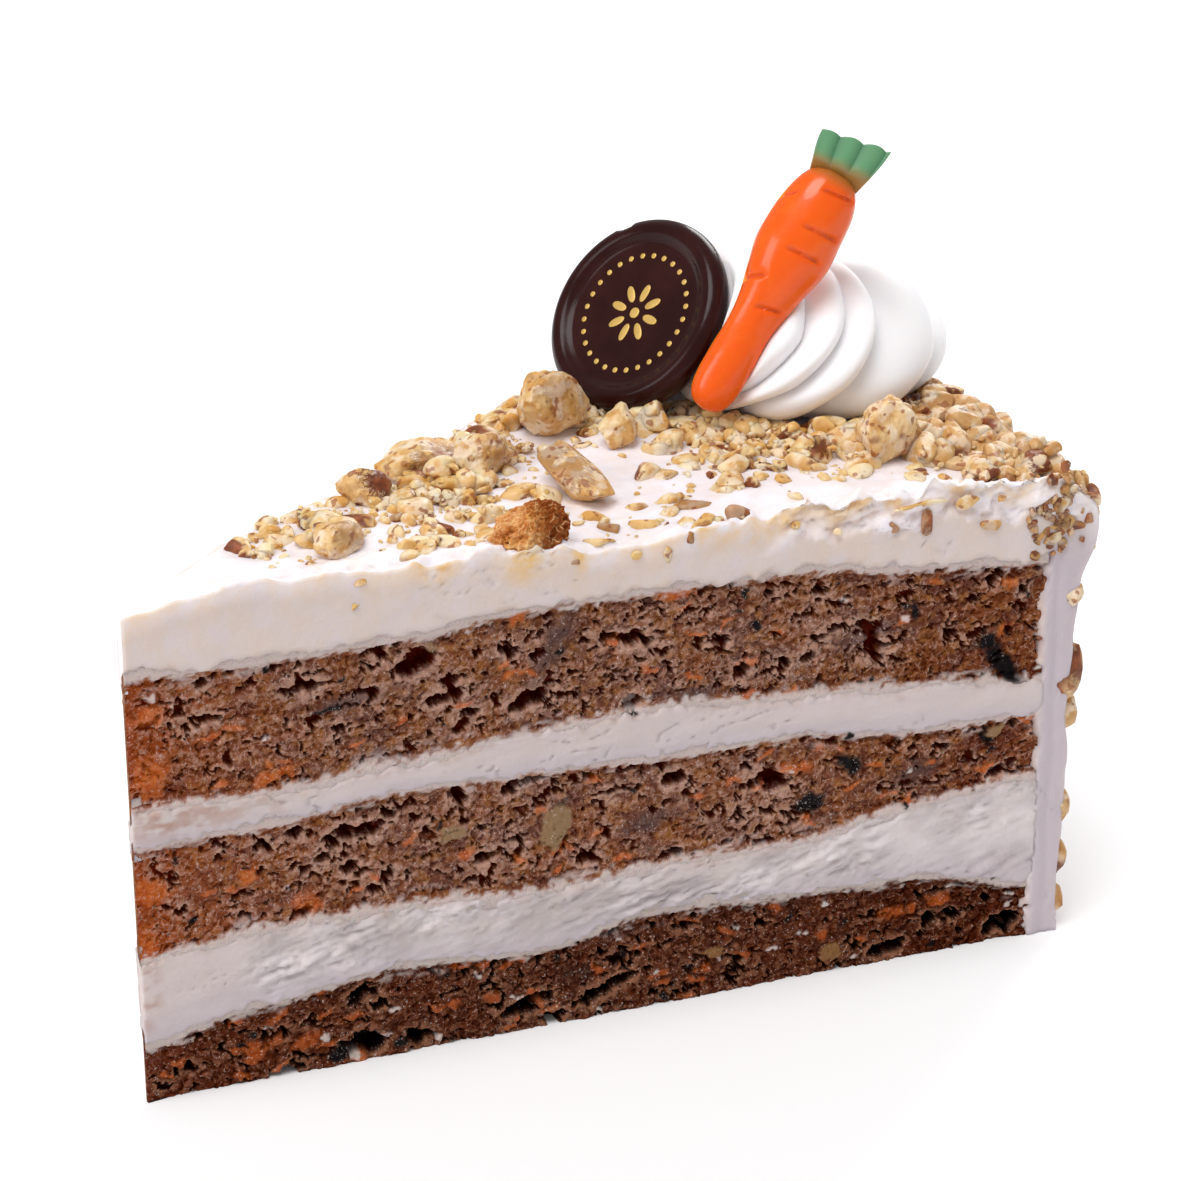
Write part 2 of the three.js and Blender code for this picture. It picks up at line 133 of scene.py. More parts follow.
white_top, _, _ = new_material("white_table", Roughness=0.75, Base_Color=TABLE_COLOUR)
floor_corners = [(x * FLOOR_HALF, y * FLOOR_HALF, 0) for x, y in ((-1, -1), (1, -1), (1, 1), (-1, 1))]
floor_mesh = bpy.data.meshes.new("floor")
floor_mesh.from_pydata(floor_corners, [], [(0, 1, 2, 3)])
floor_mesh.materials.append(white_top)
floor = bpy.data.objects.new("floor", floor_mesh)
bpy.context.scene.collection.objects.link(floor)
floor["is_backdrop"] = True

# ---- Sponge ------------------------------------------------------------------------------------
# Three baked layers of moist carrot sponge, cut with a knife that tears the crumb open: clumps,
# flattened pores, grated carrot, dark prune bits and nut. The lowest layer is darker and wetter.

# Lengths are in mm from the middle of the whole cake, where the wedge's sides meet.
MM = 0.001
MIDDLE_X = 68.7  # the middle of the slice's bounding box, which becomes the origin
CAKE_RADIUS = 130.0
HALF_ANGLE = math.radians(18)
COAT_THICKNESS = 4.3
CAKE_INSIDE = CAKE_RADIUS - COAT_THICKNESS
COAT_OVERLAP = 0.4  # how far the layers reach into the coat on the outer wall
TIP_RADIUS = 1.5
STATION_STEP = 18.0
FAR_SIDE_CALM = 0.45  # how much of the lines' rise and fall the far cut keeps
FAR_SHIFT = 300.0  # along the noises, so that the far cut doesn't repeat the near one
ON_CUT = 0.999  # the side from which a place counts as on a cut face

# Heights of the lines where the layers meet on the near cut, every 18 mm from the tip
BOARD = [0.0] * 8
BOTTOM_SPONGE_TOP = [8.2, 11.6, 13.3, 12.0, 14.6, 13.4, 12.5, 8.4]
MIDDLE_SPONGE_FOOT = [20.5, 22.2, 21.9, 20.4, 21.3, 20.8, 23.4, 24.8]
MIDDLE_SPONGE_TOP = [36.9, 37.2, 38.8, 38.2, 37.3, 37.2, 34.8, 34.4]
TOP_SPONGE_FOOT = [42.0, 41.4, 42.4, 43.6, 44.4, 42.5, 41.4, 39.2]
TOP_SPONGE_TOP = [60.3, 59.9, 59.9, 61.4, 61.3, 60.8, 58.6, 56.8]
SPONGE_SINK = 1.3  # how far a sponge runs on behind the cream above and below it
NO_CREAM_BELOW = 9  # keeps cream off the foot of the sponge that lies on the board
DEEPEST_BITE = 0.25  # of the distance from the tip, where the slice is too thin for full pores
SHRED_HALVES, PRUNE_HALVES = (1.5, 0.5), (0.8, 0.5)  # half length and height of scattered ones
HOLLOW_REACH = 4  # steps of the grid over which a crest or a hollow counts
CRUMB_MARKS = ("pore", "tone", "hue", "carrot", "prune", "nut", "cream", "warm", "soak", "smear")


def ease(start, end, value):
    """0 before the start and 1 past the end (or the other way round), eased as 3t^2 - 2t^3."""
    t = np.clip((value - start) / (end - start), 0, 1)
    return t * t * (3 - 2 * t)


def along_cut(stations, r):
    """Height of a meeting line at distance r from the tip, eased from station to station."""
    place = np.clip(r / STATION_STEP, 0, len(stations) - 1.001)
    station = np.floor(place).astype(int)
    heights = np.asarray(stations)
    blend = ease(0, 1, place - station)
    return heights[station] * (1 - blend) + heights[station + 1] * blend


def layer_height(stations, r, side):
    """Meeting surface: the near cut's line on side -1; on side 1 the same line run from the wall
    inwards and drawn towards its average; straight between them."""
    near = along_cut(stations, r)
    average = np.mean(stations)
    far = average + FAR_SIDE_CALM * (along_cut(stations, CAKE_RADIUS - r) - average)
    return near + (far - near) * (side + 1) / 2


def on_slice(r, side, z, out=0.0):
    """Points from the distance r to the cake's centre, the side (-1 near cut to 1 far cut) and
    the height; out pushes points of a cut face straight out of it."""
    angle = side * HALF_ANGLE
    x = r * np.cos(angle) - out * math.sin(HALF_ANGLE)
    y = r * np.sin(angle) + out * side * math.cos(HALF_ANGLE)
    return np.column_stack([x, y, z])


def lattice_chance(ix, iy, iz, seed):
    """Repeatable chance from 0 to 1 for whole-number places: large odd multiples are added up,
    then folded onto themselves."""
    mixed = ix * 374761393 + iy * 668265263 + iz * 1103515245 + seed * 2246822519 & 0xFFFFFFFF
    mixed = (mixed ^ (mixed >> 13)) * 1274126177 & 0xFFFFFFFF
    return ((mixed ^ (mixed >> 16)) & 0xFFFFFF) / 0x1000000


def soft_noise(x, y, z, seed):
    """Value noise from -1 to 1: chances at the corners of unit cells, eased in between."""
    x, y, z = np.broadcast_arrays(np.asarray(x, float), y, z)
    cell = [np.floor(axis).astype(np.int64) for axis in (x, y, z)]
    share = [ease(0, 1, axis - corner) for axis, corner in zip((x, y, z), cell)]
    total = np.zeros(x.shape)
    for step in itertools.product((0, 1), repeat=3):
        weight = 1.0
        for part, far in zip(share, step):
            weight = weight * (part if far else 1 - part)
        corners = [corner + far for corner, far in zip(cell, step)]
        total = total + weight * lattice_chance(*corners, seed)
    return 2 * total - 1


def rough_noise(x, y, z, seed, octaves=3):
    """Sum of soft noises, each twice as fine and 0.55 times as strong as the one before."""
    total, strength = 0.0, 1.0
    for octave in range(octaves):
        total = total + strength * soft_noise(x * 2**octave, y * 2**octave, z, seed + 101 * octave)
        strength *= 0.55
    return total


def crumb_cells(x, y, seed):
    """One jittered point per unit cell: distance to the nearest and to the second nearest, and
    the nearest one's own chance."""
    cell_x, cell_y = np.floor(x).astype(np.int64), np.floor(y).astype(np.int64)
    nearest, second, chance = np.full(x.shape, 9.0), np.full(x.shape, 9.0), np.zeros(x.shape)
    for step_x, step_y in itertools.product((-1, 0, 1), repeat=2):
        ix, iy = cell_x + step_x, cell_y + step_y
        away = np.hypot(
            ix + 0.15 + 0.7 * lattice_chance(ix, iy, 0, seed) - x,
            iy + 0.15 + 0.7 * lattice_chance(ix, iy, 1, seed) - y)
        closer = away < nearest
        second = np.where(closer, nearest, np.minimum(second, away))
        chance = np.where(closer, lattice_chance(ix, iy, 2, seed), chance)
        nearest = np.minimum(nearest, away)
    return nearest, second, chance


def box_shell(cells):
    """Grid over the six sides of a box with shared corners: each corner's place along the three
    edges, from 0 to 1, and the four corners of every square, turned outwards."""
    counts = [count + 1 for count in cells]
    outer = np.ones(counts, bool)
    outer[1:-1, 1:-1, 1:-1] = False
    ids = np.full(counts, -1)
    ids[outer] = np.arange(outer.sum())
    squares = []
    for axis, end in itertools.product(range(3), (0, -1)):
        side = np.take(ids, end, axis=axis)
        ring = [side[:-1, :-1], side[1:, :-1], side[1:, 1:], side[:-1, 1:]]
        if (end == 0) != (axis == 1):
            ring.reverse()
        squares.append(np.stack(ring, axis=-1).reshape(-1, 4))
    return np.argwhere(outer) / np.array(cells), np.concatenate(squares)


def wedge_grid(cells):
    """A box's grid on the slice inside its coat: the squares, and each corner's distance from the
    tip, its side and its part of the way up."""
    places, squares = box_shell(cells)
    r = TIP_RADIUS + (CAKE_INSIDE + COAT_OVERLAP - TIP_RADIUS) * places[:, 0]
    return squares, r, 2 * places[:, 1] - 1, places[:, 2]


def make_piece(name, points, faces, material, node, marks=None):
    """Puts a closed surface into a smooth mesh object. Points are in mm from the cake's centre;
    marks are named numbers, one for each point. Faces are turned so that they enclose a
    positive volume. The piece rides on the slice's one body and stands in a node's place."""
    corners = points[faces]
    volume = sum(
        np.einsum("ij,ij->", corners[:, 0], np.cross(corners[:, i], corners[:, i + 1]))
        for i in range(1, faces.shape[1] - 1))
    if volume < 0:
        faces = faces[:, ::-1]
    mesh = bpy.data.meshes.new(name)
    mesh.vertices.add(len(points))
    mesh.vertices.foreach_set("co", ((points - (MIDDLE_X, 0, 0)) * MM).astype(np.float32).ravel())
    mesh.loops.add(faces.size)
    mesh.loops.foreach_set("vertex_index", faces.astype(np.int32).ravel())
    mesh.polygons.add(len(faces))
    starts = np.arange(0, faces.size, faces.shape[1], dtype=np.int32)
    mesh.polygons.foreach_set("loop_start", starts)
    mesh.update(calc_edges=True)
    mesh.shade_smooth()
    for mark, values in (marks or {}).items():
        layer = mesh.attributes.new(mark, "FLOAT", "POINT")
        layer.data.foreach_set("value", np.asarray(values, np.float32))
    mesh.materials.append(material)
    piece = bpy.data.objects.new(name, mesh)
    bpy.context.scene.collection.objects.link(piece)
    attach(piece, "root")
    if node:
        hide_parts(node)
    return piece


def spots(r, z, placed, blur=0.35):
    """Mask of soft-edged ovals, each given as (r, z, half length, half height, slope): 1 inside,
    falling to 0 over the blur, as a part of the oval's size."""
    mask = np.zeros(r.shape)
    for spot_r, spot_z, half_length, half_height, slope in placed:
        near = np.abs(r - spot_r) < 2 * half_length + 2 * half_height
        turn = math.atan(slope)
        dr, dz = r[near] - spot_r, z[near] - spot_z
        along = (dr * math.cos(turn) + dz * math.sin(turn)) / half_length
        across = (dz * math.cos(turn) - dr * math.sin(turn)) / half_height
        mask[near] = np.maximum(mask[near], ease(1 + blur, 1 - blur, np.hypot(along, across)))
    return mask


def scattered(count, foot, top, half_length, half_height, seed):
    """Random ovals for spots: over the whole cut, between two heights, level within 35 degrees."""
    draw = np.random.default_rng(seed)
    size = draw.uniform(0.5, 1.0, count)
    return np.column_stack([
        draw.uniform(3, CAKE_INSIDE, count), draw.uniform(foot, top, count),
        half_length * size, half_height * draw.uniform(0.6, 1.0, count),
        draw.uniform(-0.7, 0.7, count)])


def blurred(grid, reach):
    """A grid smoothed by a moving average over the reach, in steps, along both ways, twice."""
    for axis in (0, 1, 0, 1):
        padding = [(reach + 1, reach) if way == axis else (0, 0) for way in (0, 1)]
        total = np.cumsum(np.pad(grid, padding, "edge"), axis=axis)
        first = np.arange(grid.shape[axis])
        late = np.take(total, first + 2 * reach + 1, axis=axis)
        grid = (late - np.take(total, first, axis=axis)) / (2 * reach + 1)
    return grid


def torn_crumb(r, z, seed, holes, closeness):
    """Depth of the torn crumb below the cut, in mm, its pores as a mask, and each clump's chance.

    The place is first shifted by noise. Clumps (cells that sit at chance depths, with narrow
    cracks between them) carry grains (small cells that bulge to their middles); sharp-edged pores
    lie where two coarser noises are low, and at the given holes. Where closeness is 1 the crumb
    is pressed: fine and without pores."""
    warp_r = r + 0.6 * rough_noise(r / 1.5, z / 1.2, 0, seed + 1)
    warp_z = z + 0.5 * rough_noise(r / 1.5, z / 1.2, 0, seed + 2)
    clump, next_clump, sunk = crumb_cells(warp_r / 2.1, warp_z / 1.5, seed + 4)
    grains, _, set_back = crumb_cells(warp_r / 1.0, warp_z / 0.85, seed + 5)
    coarse = 0.36 * sunk + 0.25 * ease(0.14, 0.0, next_clump - clump) + 0.15 * clump
    depth = 0.15 + 0.25 * soft_noise(r / 6, z / 4, 0, seed + 6) + (1 - 0.6 * closeness) * coarse
    depth = depth + 0.3 * grains + 0.22 * set_back + 0.07 * soft_noise(r / 0.4, z / 0.4, 0, seed + 9)
    fine = ease(-0.6, -0.68, rough_noise(warp_r / 1.3, warp_z / 0.95, 0, seed + 7))
    broad = ease(-0.8, -0.86, rough_noise(warp_r / 3.6, warp_z / 2.4, 0, seed + 8))
    pits = np.maximum(1.1 * fine, 2.4 * broad) * (1 - closeness)
    pits = np.maximum(pits, 3.0 * spots(warp_r, warp_z, holes, 0.15))
    return depth + pits, np.clip(pits / 1.2, 0, 1), sunk


def sponge_layer(name, node, lines, cells, recipe, material):
    """A wedge between two meeting surfaces, its cut faces bitten inwards by the torn crumb. Soft
    pieces in the crumb (carrot, prune, nut) are cut flat, so the bite is shallower there."""
    squares, r, side, up = wedge_grid(cells)
    on_board = lines[0] is BOARD
    foot = layer_height(lines[0], r, side) - (0 if on_board else SPONGE_SINK)
    top = layer_height(lines[1], r, side) + SPONGE_SINK
    z = foot + (top - foot) * up
    seed = recipe["seed"]
    out = np.zeros(len(r))
    marks = {mark: np.full(len(r), 0.5 if mark == "tone" else 0.0) for mark in CRUMB_MARKS}
    means = [np.mean(line) for line in lines]
    shreds = np.vstack([
        recipe["shreds"], scattered(recipe["shred_count"], *means, *SHRED_HALVES, seed)])
    prunes = np.vstack([
        recipe["prunes"], scattered(recipe["prune_count"], *means, *PRUNE_HALVES, seed + 9)])
    for cut, shift in ((-1, 0.0), (1, FAR_SHIFT)):
        shown = np.flatnonzero(side * cut > ON_CUT)
        cut_r, cut_z = r[shown], z[shown]
        far_r = cut_r + shift
        edge = np.minimum(cut_z - foot[shown] + NO_CREAM_BELOW * on_board, top[shown] - cut_z)
        edge = edge - SPONGE_SINK
        patch = rough_noise(far_r / 9, cut_z / 5, 0, seed + 62)
        close = np.clip(ease(1.5, 0.1, edge + 0.7 * patch) + 0.8 * ease(0.3, 0.75, patch), 0, 1)
        depth, pore, hue = torn_crumb(far_r, cut_z, seed, recipe["holes"], close)
        wander_r = cut_r + 0.6 * rough_noise(far_r / 1.3, cut_z / 1.3, 0, seed + 60)
        wander_z = cut_z + 0.45 * rough_noise(far_r / 1.3, cut_z / 1.3, 0, seed + 61)
        carrot = spots(wander_r, wander_z, shreds, 0.5)
        prune = spots(wander_r, wander_z, prunes)
        walnut = spots(wander_r, wander_z, recipe["nuts"], 0.15)
        smear = spots(wander_r, wander_z, recipe["smears"], 0.8)
        drag = rough_noise(far_r / 2.4, cut_z / 1.0, 0, seed + 70)
        film = rough_noise(far_r / 1.1, cut_z / 0.9, 0, seed + 71)
        fleck, _, luck = crumb_cells((wander_r + shift) / 2.6, wander_z / 2.0, seed + 80)
        rubbed = ease(0.2, 0.9, drag + 1.1 * np.exp(-np.maximum(edge, 0) / 0.7) - 0.15)
        cream = np.maximum.reduce([
            rubbed * ease(3.2, 0.1, edge), ease(0.75, -0.05, edge + 0.7 * film + 0.5 * drag),
            (luck < recipe["flecks"]) * ease(0.24, 0.13, fleck)])
        whole = np.clip(carrot + prune + walnut + 0.7 * cream, 0, 1)
        depth = depth * (1 - 0.7 * whole) * (1 - 0.35 * smear) + 0.2 * whole
        depth = depth * (1 - 0.6 * ease(1.3, 0.2, edge))
        grid = depth.reshape(cells[0] + 1, cells[2] + 1)
        hollow = (1.6 * grid - blurred(grid, HOLLOW_REACH) - 0.6 * blurred(grid, 1)).ravel()
        out[shown] = -np.minimum(depth, DEEPEST_BITE * cut_r)
        warm = recipe["warm"] + 1.2 * ease(9, 1.5, cut_r + 1.8 * patch)
        warm = warm + 0.5 * ease(30, 8, cut_r + 5 * patch) + 0.1 * ease(106, 122, cut_r)
        # Painted shade and highlight: the tone falls where the crumb lies deeper than around it and rises
        # on its crests; it also falls towards the rim.
        tone = 0.5 - 0.7 * hollow - 0.22 * ease(92, 118, cut_r)
        soak = ease(1.5, 0.1, edge)
        shown_marks = (pore * (1 - whole), tone, hue, carrot, prune * (1 - walnut), walnut, cream,
                       warm, soak, smear)
        for mark, values in zip(CRUMB_MARKS, shown_marks):
            marks[mark][shown] = np.clip(values, 0, 1)
    make_piece(name, on_slice(r, side, z, out), squares, material, node, marks)


def new_group(name, inputs, outputs):
    """A shader node group with the given sockets, each as (name, kind, value)."""
    group = bpy.data.node_groups.new(name, "ShaderNodeTree")
    for socket_name, kind, value in inputs:
        socket = group.interface.new_socket(socket_name, in_out="INPUT", socket_type=kind)
        if value is not None:
            socket.default_value = value
    for socket_name, kind in outputs:
        group.interface.new_socket(socket_name, in_out="OUTPUT", socket_type=kind)
    return group, group.nodes.new("NodeGroupInput"), group.nodes.new("NodeGroupOutput")


def calculated(tree, operation, *values):
    """A number worked out from others, each an output or a plain number."""
    node = place_node(tree, "Math", {"operation": operation})
    for socket, value in zip(node.inputs, values):
        feed(tree, socket, value)
    return node.outputs[0]


FINE_SHARE = 0.45  # of the fine grain in the height


def fine_grain_group():
    """Two sizes of soft grain read from the place: the coarse one as a mask, and both together as
    a height for a bump."""
    group, given, result = new_group(
        "fine_grain",
        [("Place", "NodeSocketVector", None), ("Coarse", "NodeSocketFloat", 600.0),
         ("Fine", "NodeSocketFloat", 2400.0)],
        [("Mask", "NodeSocketFloat"), ("Height", "NodeSocketFloat")])
    coarse = place_node(group, "TexNoise", Vector=given.outputs["Place"],
                        Scale=given.outputs["Coarse"], Detail=3.0, Roughness=0.6)
    fine = place_node(group, "TexNoise", Vector=given.outputs["Place"],
                      Scale=given.outputs["Fine"], Detail=2.0, Roughness=0.6)
    both = calculated(group, "MULTIPLY_ADD", fine.outputs["Fac"], FINE_SHARE, coarse.outputs["Fac"])
    group.links.new(coarse.outputs["Fac"], result.inputs["Mask"])
    group.links.new(both, result.inputs["Height"])
    return group


fine_grain = fine_grain_group()


def object_place(tree):
    """A point's place on the piece's own axes."""
    return place_node(tree, "TexCoord").outputs["Object"]


def grain(tree, coarse, fine):
    """Places the fine grain on the piece's own coordinates: its mask and its height."""
    node = place_node(tree, "Group", {"node_tree": fine_grain}, Place=object_place(tree),
                      Coarse=coarse, Fine=fine)
    return node.outputs["Mask"], node.outputs["Height"]


def cloud(tree, scale, detail):
    """Soft noise on the piece's own coordinates."""
    noise = place_node(tree, "TexNoise", Vector=object_place(tree), Scale=scale, Detail=detail)
    return noise.outputs["Fac"]


def mark_of(tree, name):
    """The numbers that the mesh carries under a name."""
    return place_node(tree, "Attribute", {"attribute_name": name}).outputs["Fac"]


def spread(tree, value, low, high, to_low=0.0, to_high=1.0):
    """Carries a value from one range to another, held at the ends."""
    node = place_node(tree, "MapRange", Value=value, From_Min=low, From_Max=high,
                      To_Min=to_low, To_Max=to_high)
    return node.outputs["Result"]


def from_screen(colour):
    """Linear colour of a colour given as it looks, 0 to 255 a channel."""
    steps = np.array(colour) / 255
    linear = np.where(steps > 0.04045, ((steps + 0.055) / 1.055) ** 2.4, steps / 12.92)
    return tuple(float(channel) for channel in linear) + (1,)


def mixed(tree, share, first, second):
    """Mixes two colours, each a colour output or a colour as it looks."""
    node = place_node(tree, "Mix", {"data_type": "RGBA"})
    feed(tree, node.inputs[0], share)
    for index, colour in ((6, first), (7, second)):
        feed(tree, node.inputs[index], from_screen(colour) if isinstance(colour, tuple) else colour)
    return node.outputs[2]


def layered(tree, colour, layers):
    """Lays colours over a first one, each as (mask or a mark's name, strength, colour)."""
    for share, strength, over in layers:
        mask = mark_of(tree, share) if isinstance(share, str) else share
        colour = mixed(tree, calculated(tree, "MULTIPLY", mask, strength), colour, over)
    return colour


def finish_surface(tree, shader, colour, grit, bump=None, rough=None):
    """Feeds a shader its colour, a bump by the grain's height, as (strength, distance), and a
    roughness by the grain's mask, as (mask from, mask to, smoothest, roughest)."""
    mask, height = grit
    tree.links.new(colour, shader.inputs["Base Color"])
    if bump:
        node = place_node(tree, "Bump", Strength=bump[0], Distance=bump[1], Height=height)
        tree.links.new(node.outputs["Normal"], shader.inputs["Normal"])
    if rough:
        tree.links.new(spread(tree, mask, *rough), shader.inputs["Roughness"])


FLAKE_BEND = 0.0009  # metres by which noise bends the crumb's flakes


def crumb_material(name, colours):
    """Moist crumb. Patches of brown, grey-brown and tan; the tone paints shade into the recesses as a
    deep red-brown and a pale highlight onto the crests; a pale painted highlight runs along the flakes'
    edges, the pores are painted a dark shade and pale painted glints speckle the crests; cream soaks its
    edges; what is baked in has its own colours. Fine grain breaks up the tone and drives the bump and a
    patchy wet roughness."""
    material, tree, shader = new_material(
        name, Subsurface_Weight=0.3, Subsurface_Scale=0.0012, Subsurface_Radius=(1.0, 0.35, 0.15))
    grit = grain(tree, 1300.0, 4200.0)
    mask = grit[0]
    hue = spread(tree, mark_of(tree, "hue"), 0.0, 1.0, -0.09, 0.09)
    patch = calculated(tree, "ADD", cloud(tree, 170.0, 3.0), hue)
    tone = calculated(tree, "ADD", mark_of(tree, "tone"), spread(tree, mask, 0.3, 0.7, -0.2, 0.2))
    place = object_place(tree)
    stir = place_node(tree, "TexNoise", Vector=place, Scale=1100.0, Detail=1.0)
    bent = place_node(tree, "VectorMath", {"operation": "MULTIPLY_ADD"})
    for socket, value in zip(bent.inputs, (stir.outputs["Color"], (FLAKE_BEND,) * 3, place)):
        feed(tree, socket, value)
    flake = place_node(tree, "TexVoronoi", {"feature": "DISTANCE_TO_EDGE"},
                       Vector=bent.outputs["Vector"], Scale=780.0)
    # Painted highlight: pale rims along the flakes' edges, where a stirred noise allows.
    flake_rim_highlight = calculated(tree, "MULTIPLY", spread(tree, flake.outputs["Distance"], 0.07, 0.02),
                      spread(tree, stir.outputs["Fac"], 0.45, 0.6))
    # Painted glints: pale specks of the cream colour on the crests.
    glint = calculated(tree, "MULTIPLY", spread(tree, cloud(tree, 3300.0, 1.0), 0.64, 0.72),
                       spread(tree, tone, 0.35, 0.6))
    shred = mixed(tree, spread(tree, mask, 0.35, 0.7), colours["shred"], colours["shred_light"])
    # Painted light in these layers: the deep colour is shade in the recesses, the crest colour a
    # highlight on the crests and flake rims, the pore colour shade in the pores, and the glint a
    # highlight in the cream colour.
    colour = layered(tree, colours["base"], [
        (spread(tree, patch, 0.38, 0.62), 1, colours["grey"]),
        (spread(tree, cloud(tree, 620.0, 2.0), 0.5, 0.66), 0.75, colours["tan"]),
        ("warm", 0.8, colours["warm"]), ("soak", 0.5, colours["soak"]),
        (spread(tree, tone, 0.5, 0.1), 0.9, colours["deep"]),
        (spread(tree, tone, 0.55, 1.0), 0.9, colours["crest_highlight"]),
        (flake_rim_highlight, 0.6, colours["crest_highlight"]), ("smear", 0.7, colours["smear"]), ("carrot", 0.7, shred),
        ("nut", 1, colours["nut"]), ("cream", 0.88, colours["cream"]),
        # Painted shade: the pores are painted a dark red-brown.
        ("pore", 1, colours["pore"]), ("prune", 1, colours["prune"]),
        (glint, 0.6, colours["cream"])])
    tree.links.new(spread(tree, tone, 0.1, 0.7, 0.0, 0.13), shader.inputs["Specular IOR Level"])
    finish_surface(tree, shader, colour, grit, (1.0, 0.0004), (0.35, 0.65, 0.34, 0.8))
    return material


# In each set the deep colour is the painted shade of the recesses and the pore colour that of the pores;
# the crest colour is the painted highlight of the crests.
baked_brown = crumb_material("baked_brown", {
    "base": (130, 74, 40), "grey": (112, 70, 56), "tan": (158, 102, 52), "warm": (154, 68, 12),
    "soak": (134, 80, 52), "deep": (84, 26, 4), "crest_highlight": (188, 148, 130), "pore": (84, 18, 3),
    "smear": (80, 62, 62), "shred": (186, 80, 20), "shred_light": (210, 118, 46),
    "nut": (148, 118, 86), "cream": (214, 199, 195), "prune": (16, 10, 11)})
wet_brown = crumb_material("wet_brown", {
    "base": (74, 25, 2), "grey": (58, 24, 8), "tan": (100, 46, 10), "warm": (98, 36, 3),
    "soak": (84, 34, 8), "deep": (42, 6, 0), "crest_highlight": (146, 98, 72), "pore": (14, 2, 0),
    "smear": (40, 24, 17), "shred": (164, 70, 16), "shred_light": (190, 96, 32),
    "nut": (136, 96, 56), "cream": (210, 196, 190), "prune": (5, 3, 3)})

# In each recipe the ovals are placed by distance from the tip and height, with half length, half
# height and slope.
bottom_recipe = {
    "seed": 300, "warm": 0.35, "flecks": 0.07, "shred_count": 46, "prune_count": 14,
    "holes": [(30.0, 2.4, 3.0, 1.6, 0.1), (38.0, 2.0, 2.2, 1.2, -0.1), (53.0, 3.4, 3.4, 1.2, 0.3),
              (64.0, 4.0, 4.5, 1.0, 0.35), (105.0, 2.0, 3.0, 1.0, 0.1), (122.0, 2.5, 2.6, 1.6, 0.3)],
    "shreds": [(15.8, 4.4, 2.0, 1.4, 0.2), (22.6, 4.3, 1.9, 1.0, 0.4), (47.9, 5.9, 1.1, 0.9, 0.0),
               (112.3, 7.9, 1.4, 0.9, 0.5), (106.0, 7.1, 1.2, 1.0, 0.2)],
    "prunes": [(27.5, 1.8, 1.6, 1.3, 0.0), (35.5, 1.6, 1.2, 0.9, 0.0)],
    "smears": [(60.0, 7.0, 3.0, 1.0, 0.2)],
    "nuts": [(79.4, 6.2, 1.6, 1.0, 0.2), (95.8, 2.9, 1.5, 1.3, 0.3)],
}
middle_recipe = {
    "seed": 200, "warm": 0.05, "flecks": 0.02, "shred_count": 30, "prune_count": 10,
    "holes": [(29.9, 33.9, 2.4, 1.0, -0.1), (22.2, 35.1, 1.0, 0.8, 0.0), (26.8, 32.7, 0.8, 0.8, 0.0),
              (34.4, 35.5, 0.9, 0.7, 0.0), (73.2, 33.7, 1.3, 1.1, -0.3), (87.2, 30.8, 2.6, 1.2, -0.4),
              (47.5, 26.6, 1.3, 0.8, 0.3), (43.8, 36.1, 1.0, 1.1, 0.0), (120.2, 26.6, 1.3, 0.8, 0.0)],
    "shreds": [(2.9, 30.5, 2.6, 2.0, -0.2), (15.9, 30.3, 1.5, 1.1, 0.5), (23.5, 24.8, 1.9, 1.6, -0.6),
               (44.5, 27.9, 1.2, 0.7, 0.3), (2.0, 23.0, 2.0, 2.4, 0.0), (90.5, 32.0, 2.6, 0.9, -0.2)],
    "prunes": [(98.3, 31.4, 1.3, 1.8, 1.4), (92.7, 26.4, 1.9, 1.6, -0.3), (118.6, 32.0, 1.0, 1.2, 0.0)],
    "smears": [(70.0, 28.0, 4.0, 1.2, 0.3), (108.0, 28.5, 3.5, 1.5, 0.2)],
    "nuts": [(57.0, 29.6, 2.0, 3.3, -0.25), (119.9, 32.6, 1.5, 0.9, 0.1), (43.0, 31.0, 1.6, 1.2, 0.0)],
}
top_recipe = {
    "seed": 100, "warm": 0.0, "flecks": 0.02, "shred_count": 26, "prune_count": 10,
    "holes": [(38.8, 56.0, 2.5, 1.4, 0.4), (53.2, 48.5, 2.7, 1.1, 0.35), (45.5, 47.7, 1.0, 0.8, -0.3),
              (51.5, 55.5, 1.0, 0.6, 0.0), (67.6, 45.8, 0.9, 0.9, 0.4), (82.5, 47.6, 0.8, 1.3, 0.0)],
    "shreds": [(73.2, 60.1, 2.9, 0.9, 0.1), (52.0, 60.2, 1.2, 1.0, 0.0), (89.5, 43.5, 1.2, 0.8, 0.6),
               (4.4, 54.3, 2.6, 1.3, 0.2), (4.0, 46.1, 2.2, 2.6, 0.1), (20.0, 43.6, 3.2, 0.9, 0.35)],
    "prunes": [(120.3, 42.4, 4.6, 1.3, -1.25), (117.6, 46.2, 1.5, 0.9, 0.2), (106.7, 52.4, 0.7, 1.6, 0.0),
               (26.7, 51.4, 2.5, 0.5, 0.15), (83.0, 58.6, 0.9, 0.9, 0.0)],
    "smears": [(56.6, 55.6, 6.4, 1.7, 1.75), (30.0, 52.0, 4.5, 0.9, 0.15),
               (76.0, 45.6, 3.5, 0.9, -0.1), (100.0, 50.0, 4.0, 1.2, 0.3)],
    "nuts": [(40.5, 57.5, 0.9, 0.7, 0.0)],
}
sponge_layer("sponge_bottom_crumb", "sponge_bottom",
             (BOARD, BOTTOM_SPONGE_TOP), (630, 4, 74), bottom_recipe, wet_brown)
sponge_layer("sponge_middle_crumb", "sponge_middle",
             (MIDDLE_SPONGE_FOOT, MIDDLE_SPONGE_TOP), (566, 4, 83), middle_recipe, baked_brown)
sponge_layer("sponge_top_crumb", "sponge_top",
             (TOP_SPONGE_FOOT, TOP_SPONGE_TOP), (536, 4, 88), top_recipe, baked_brown)

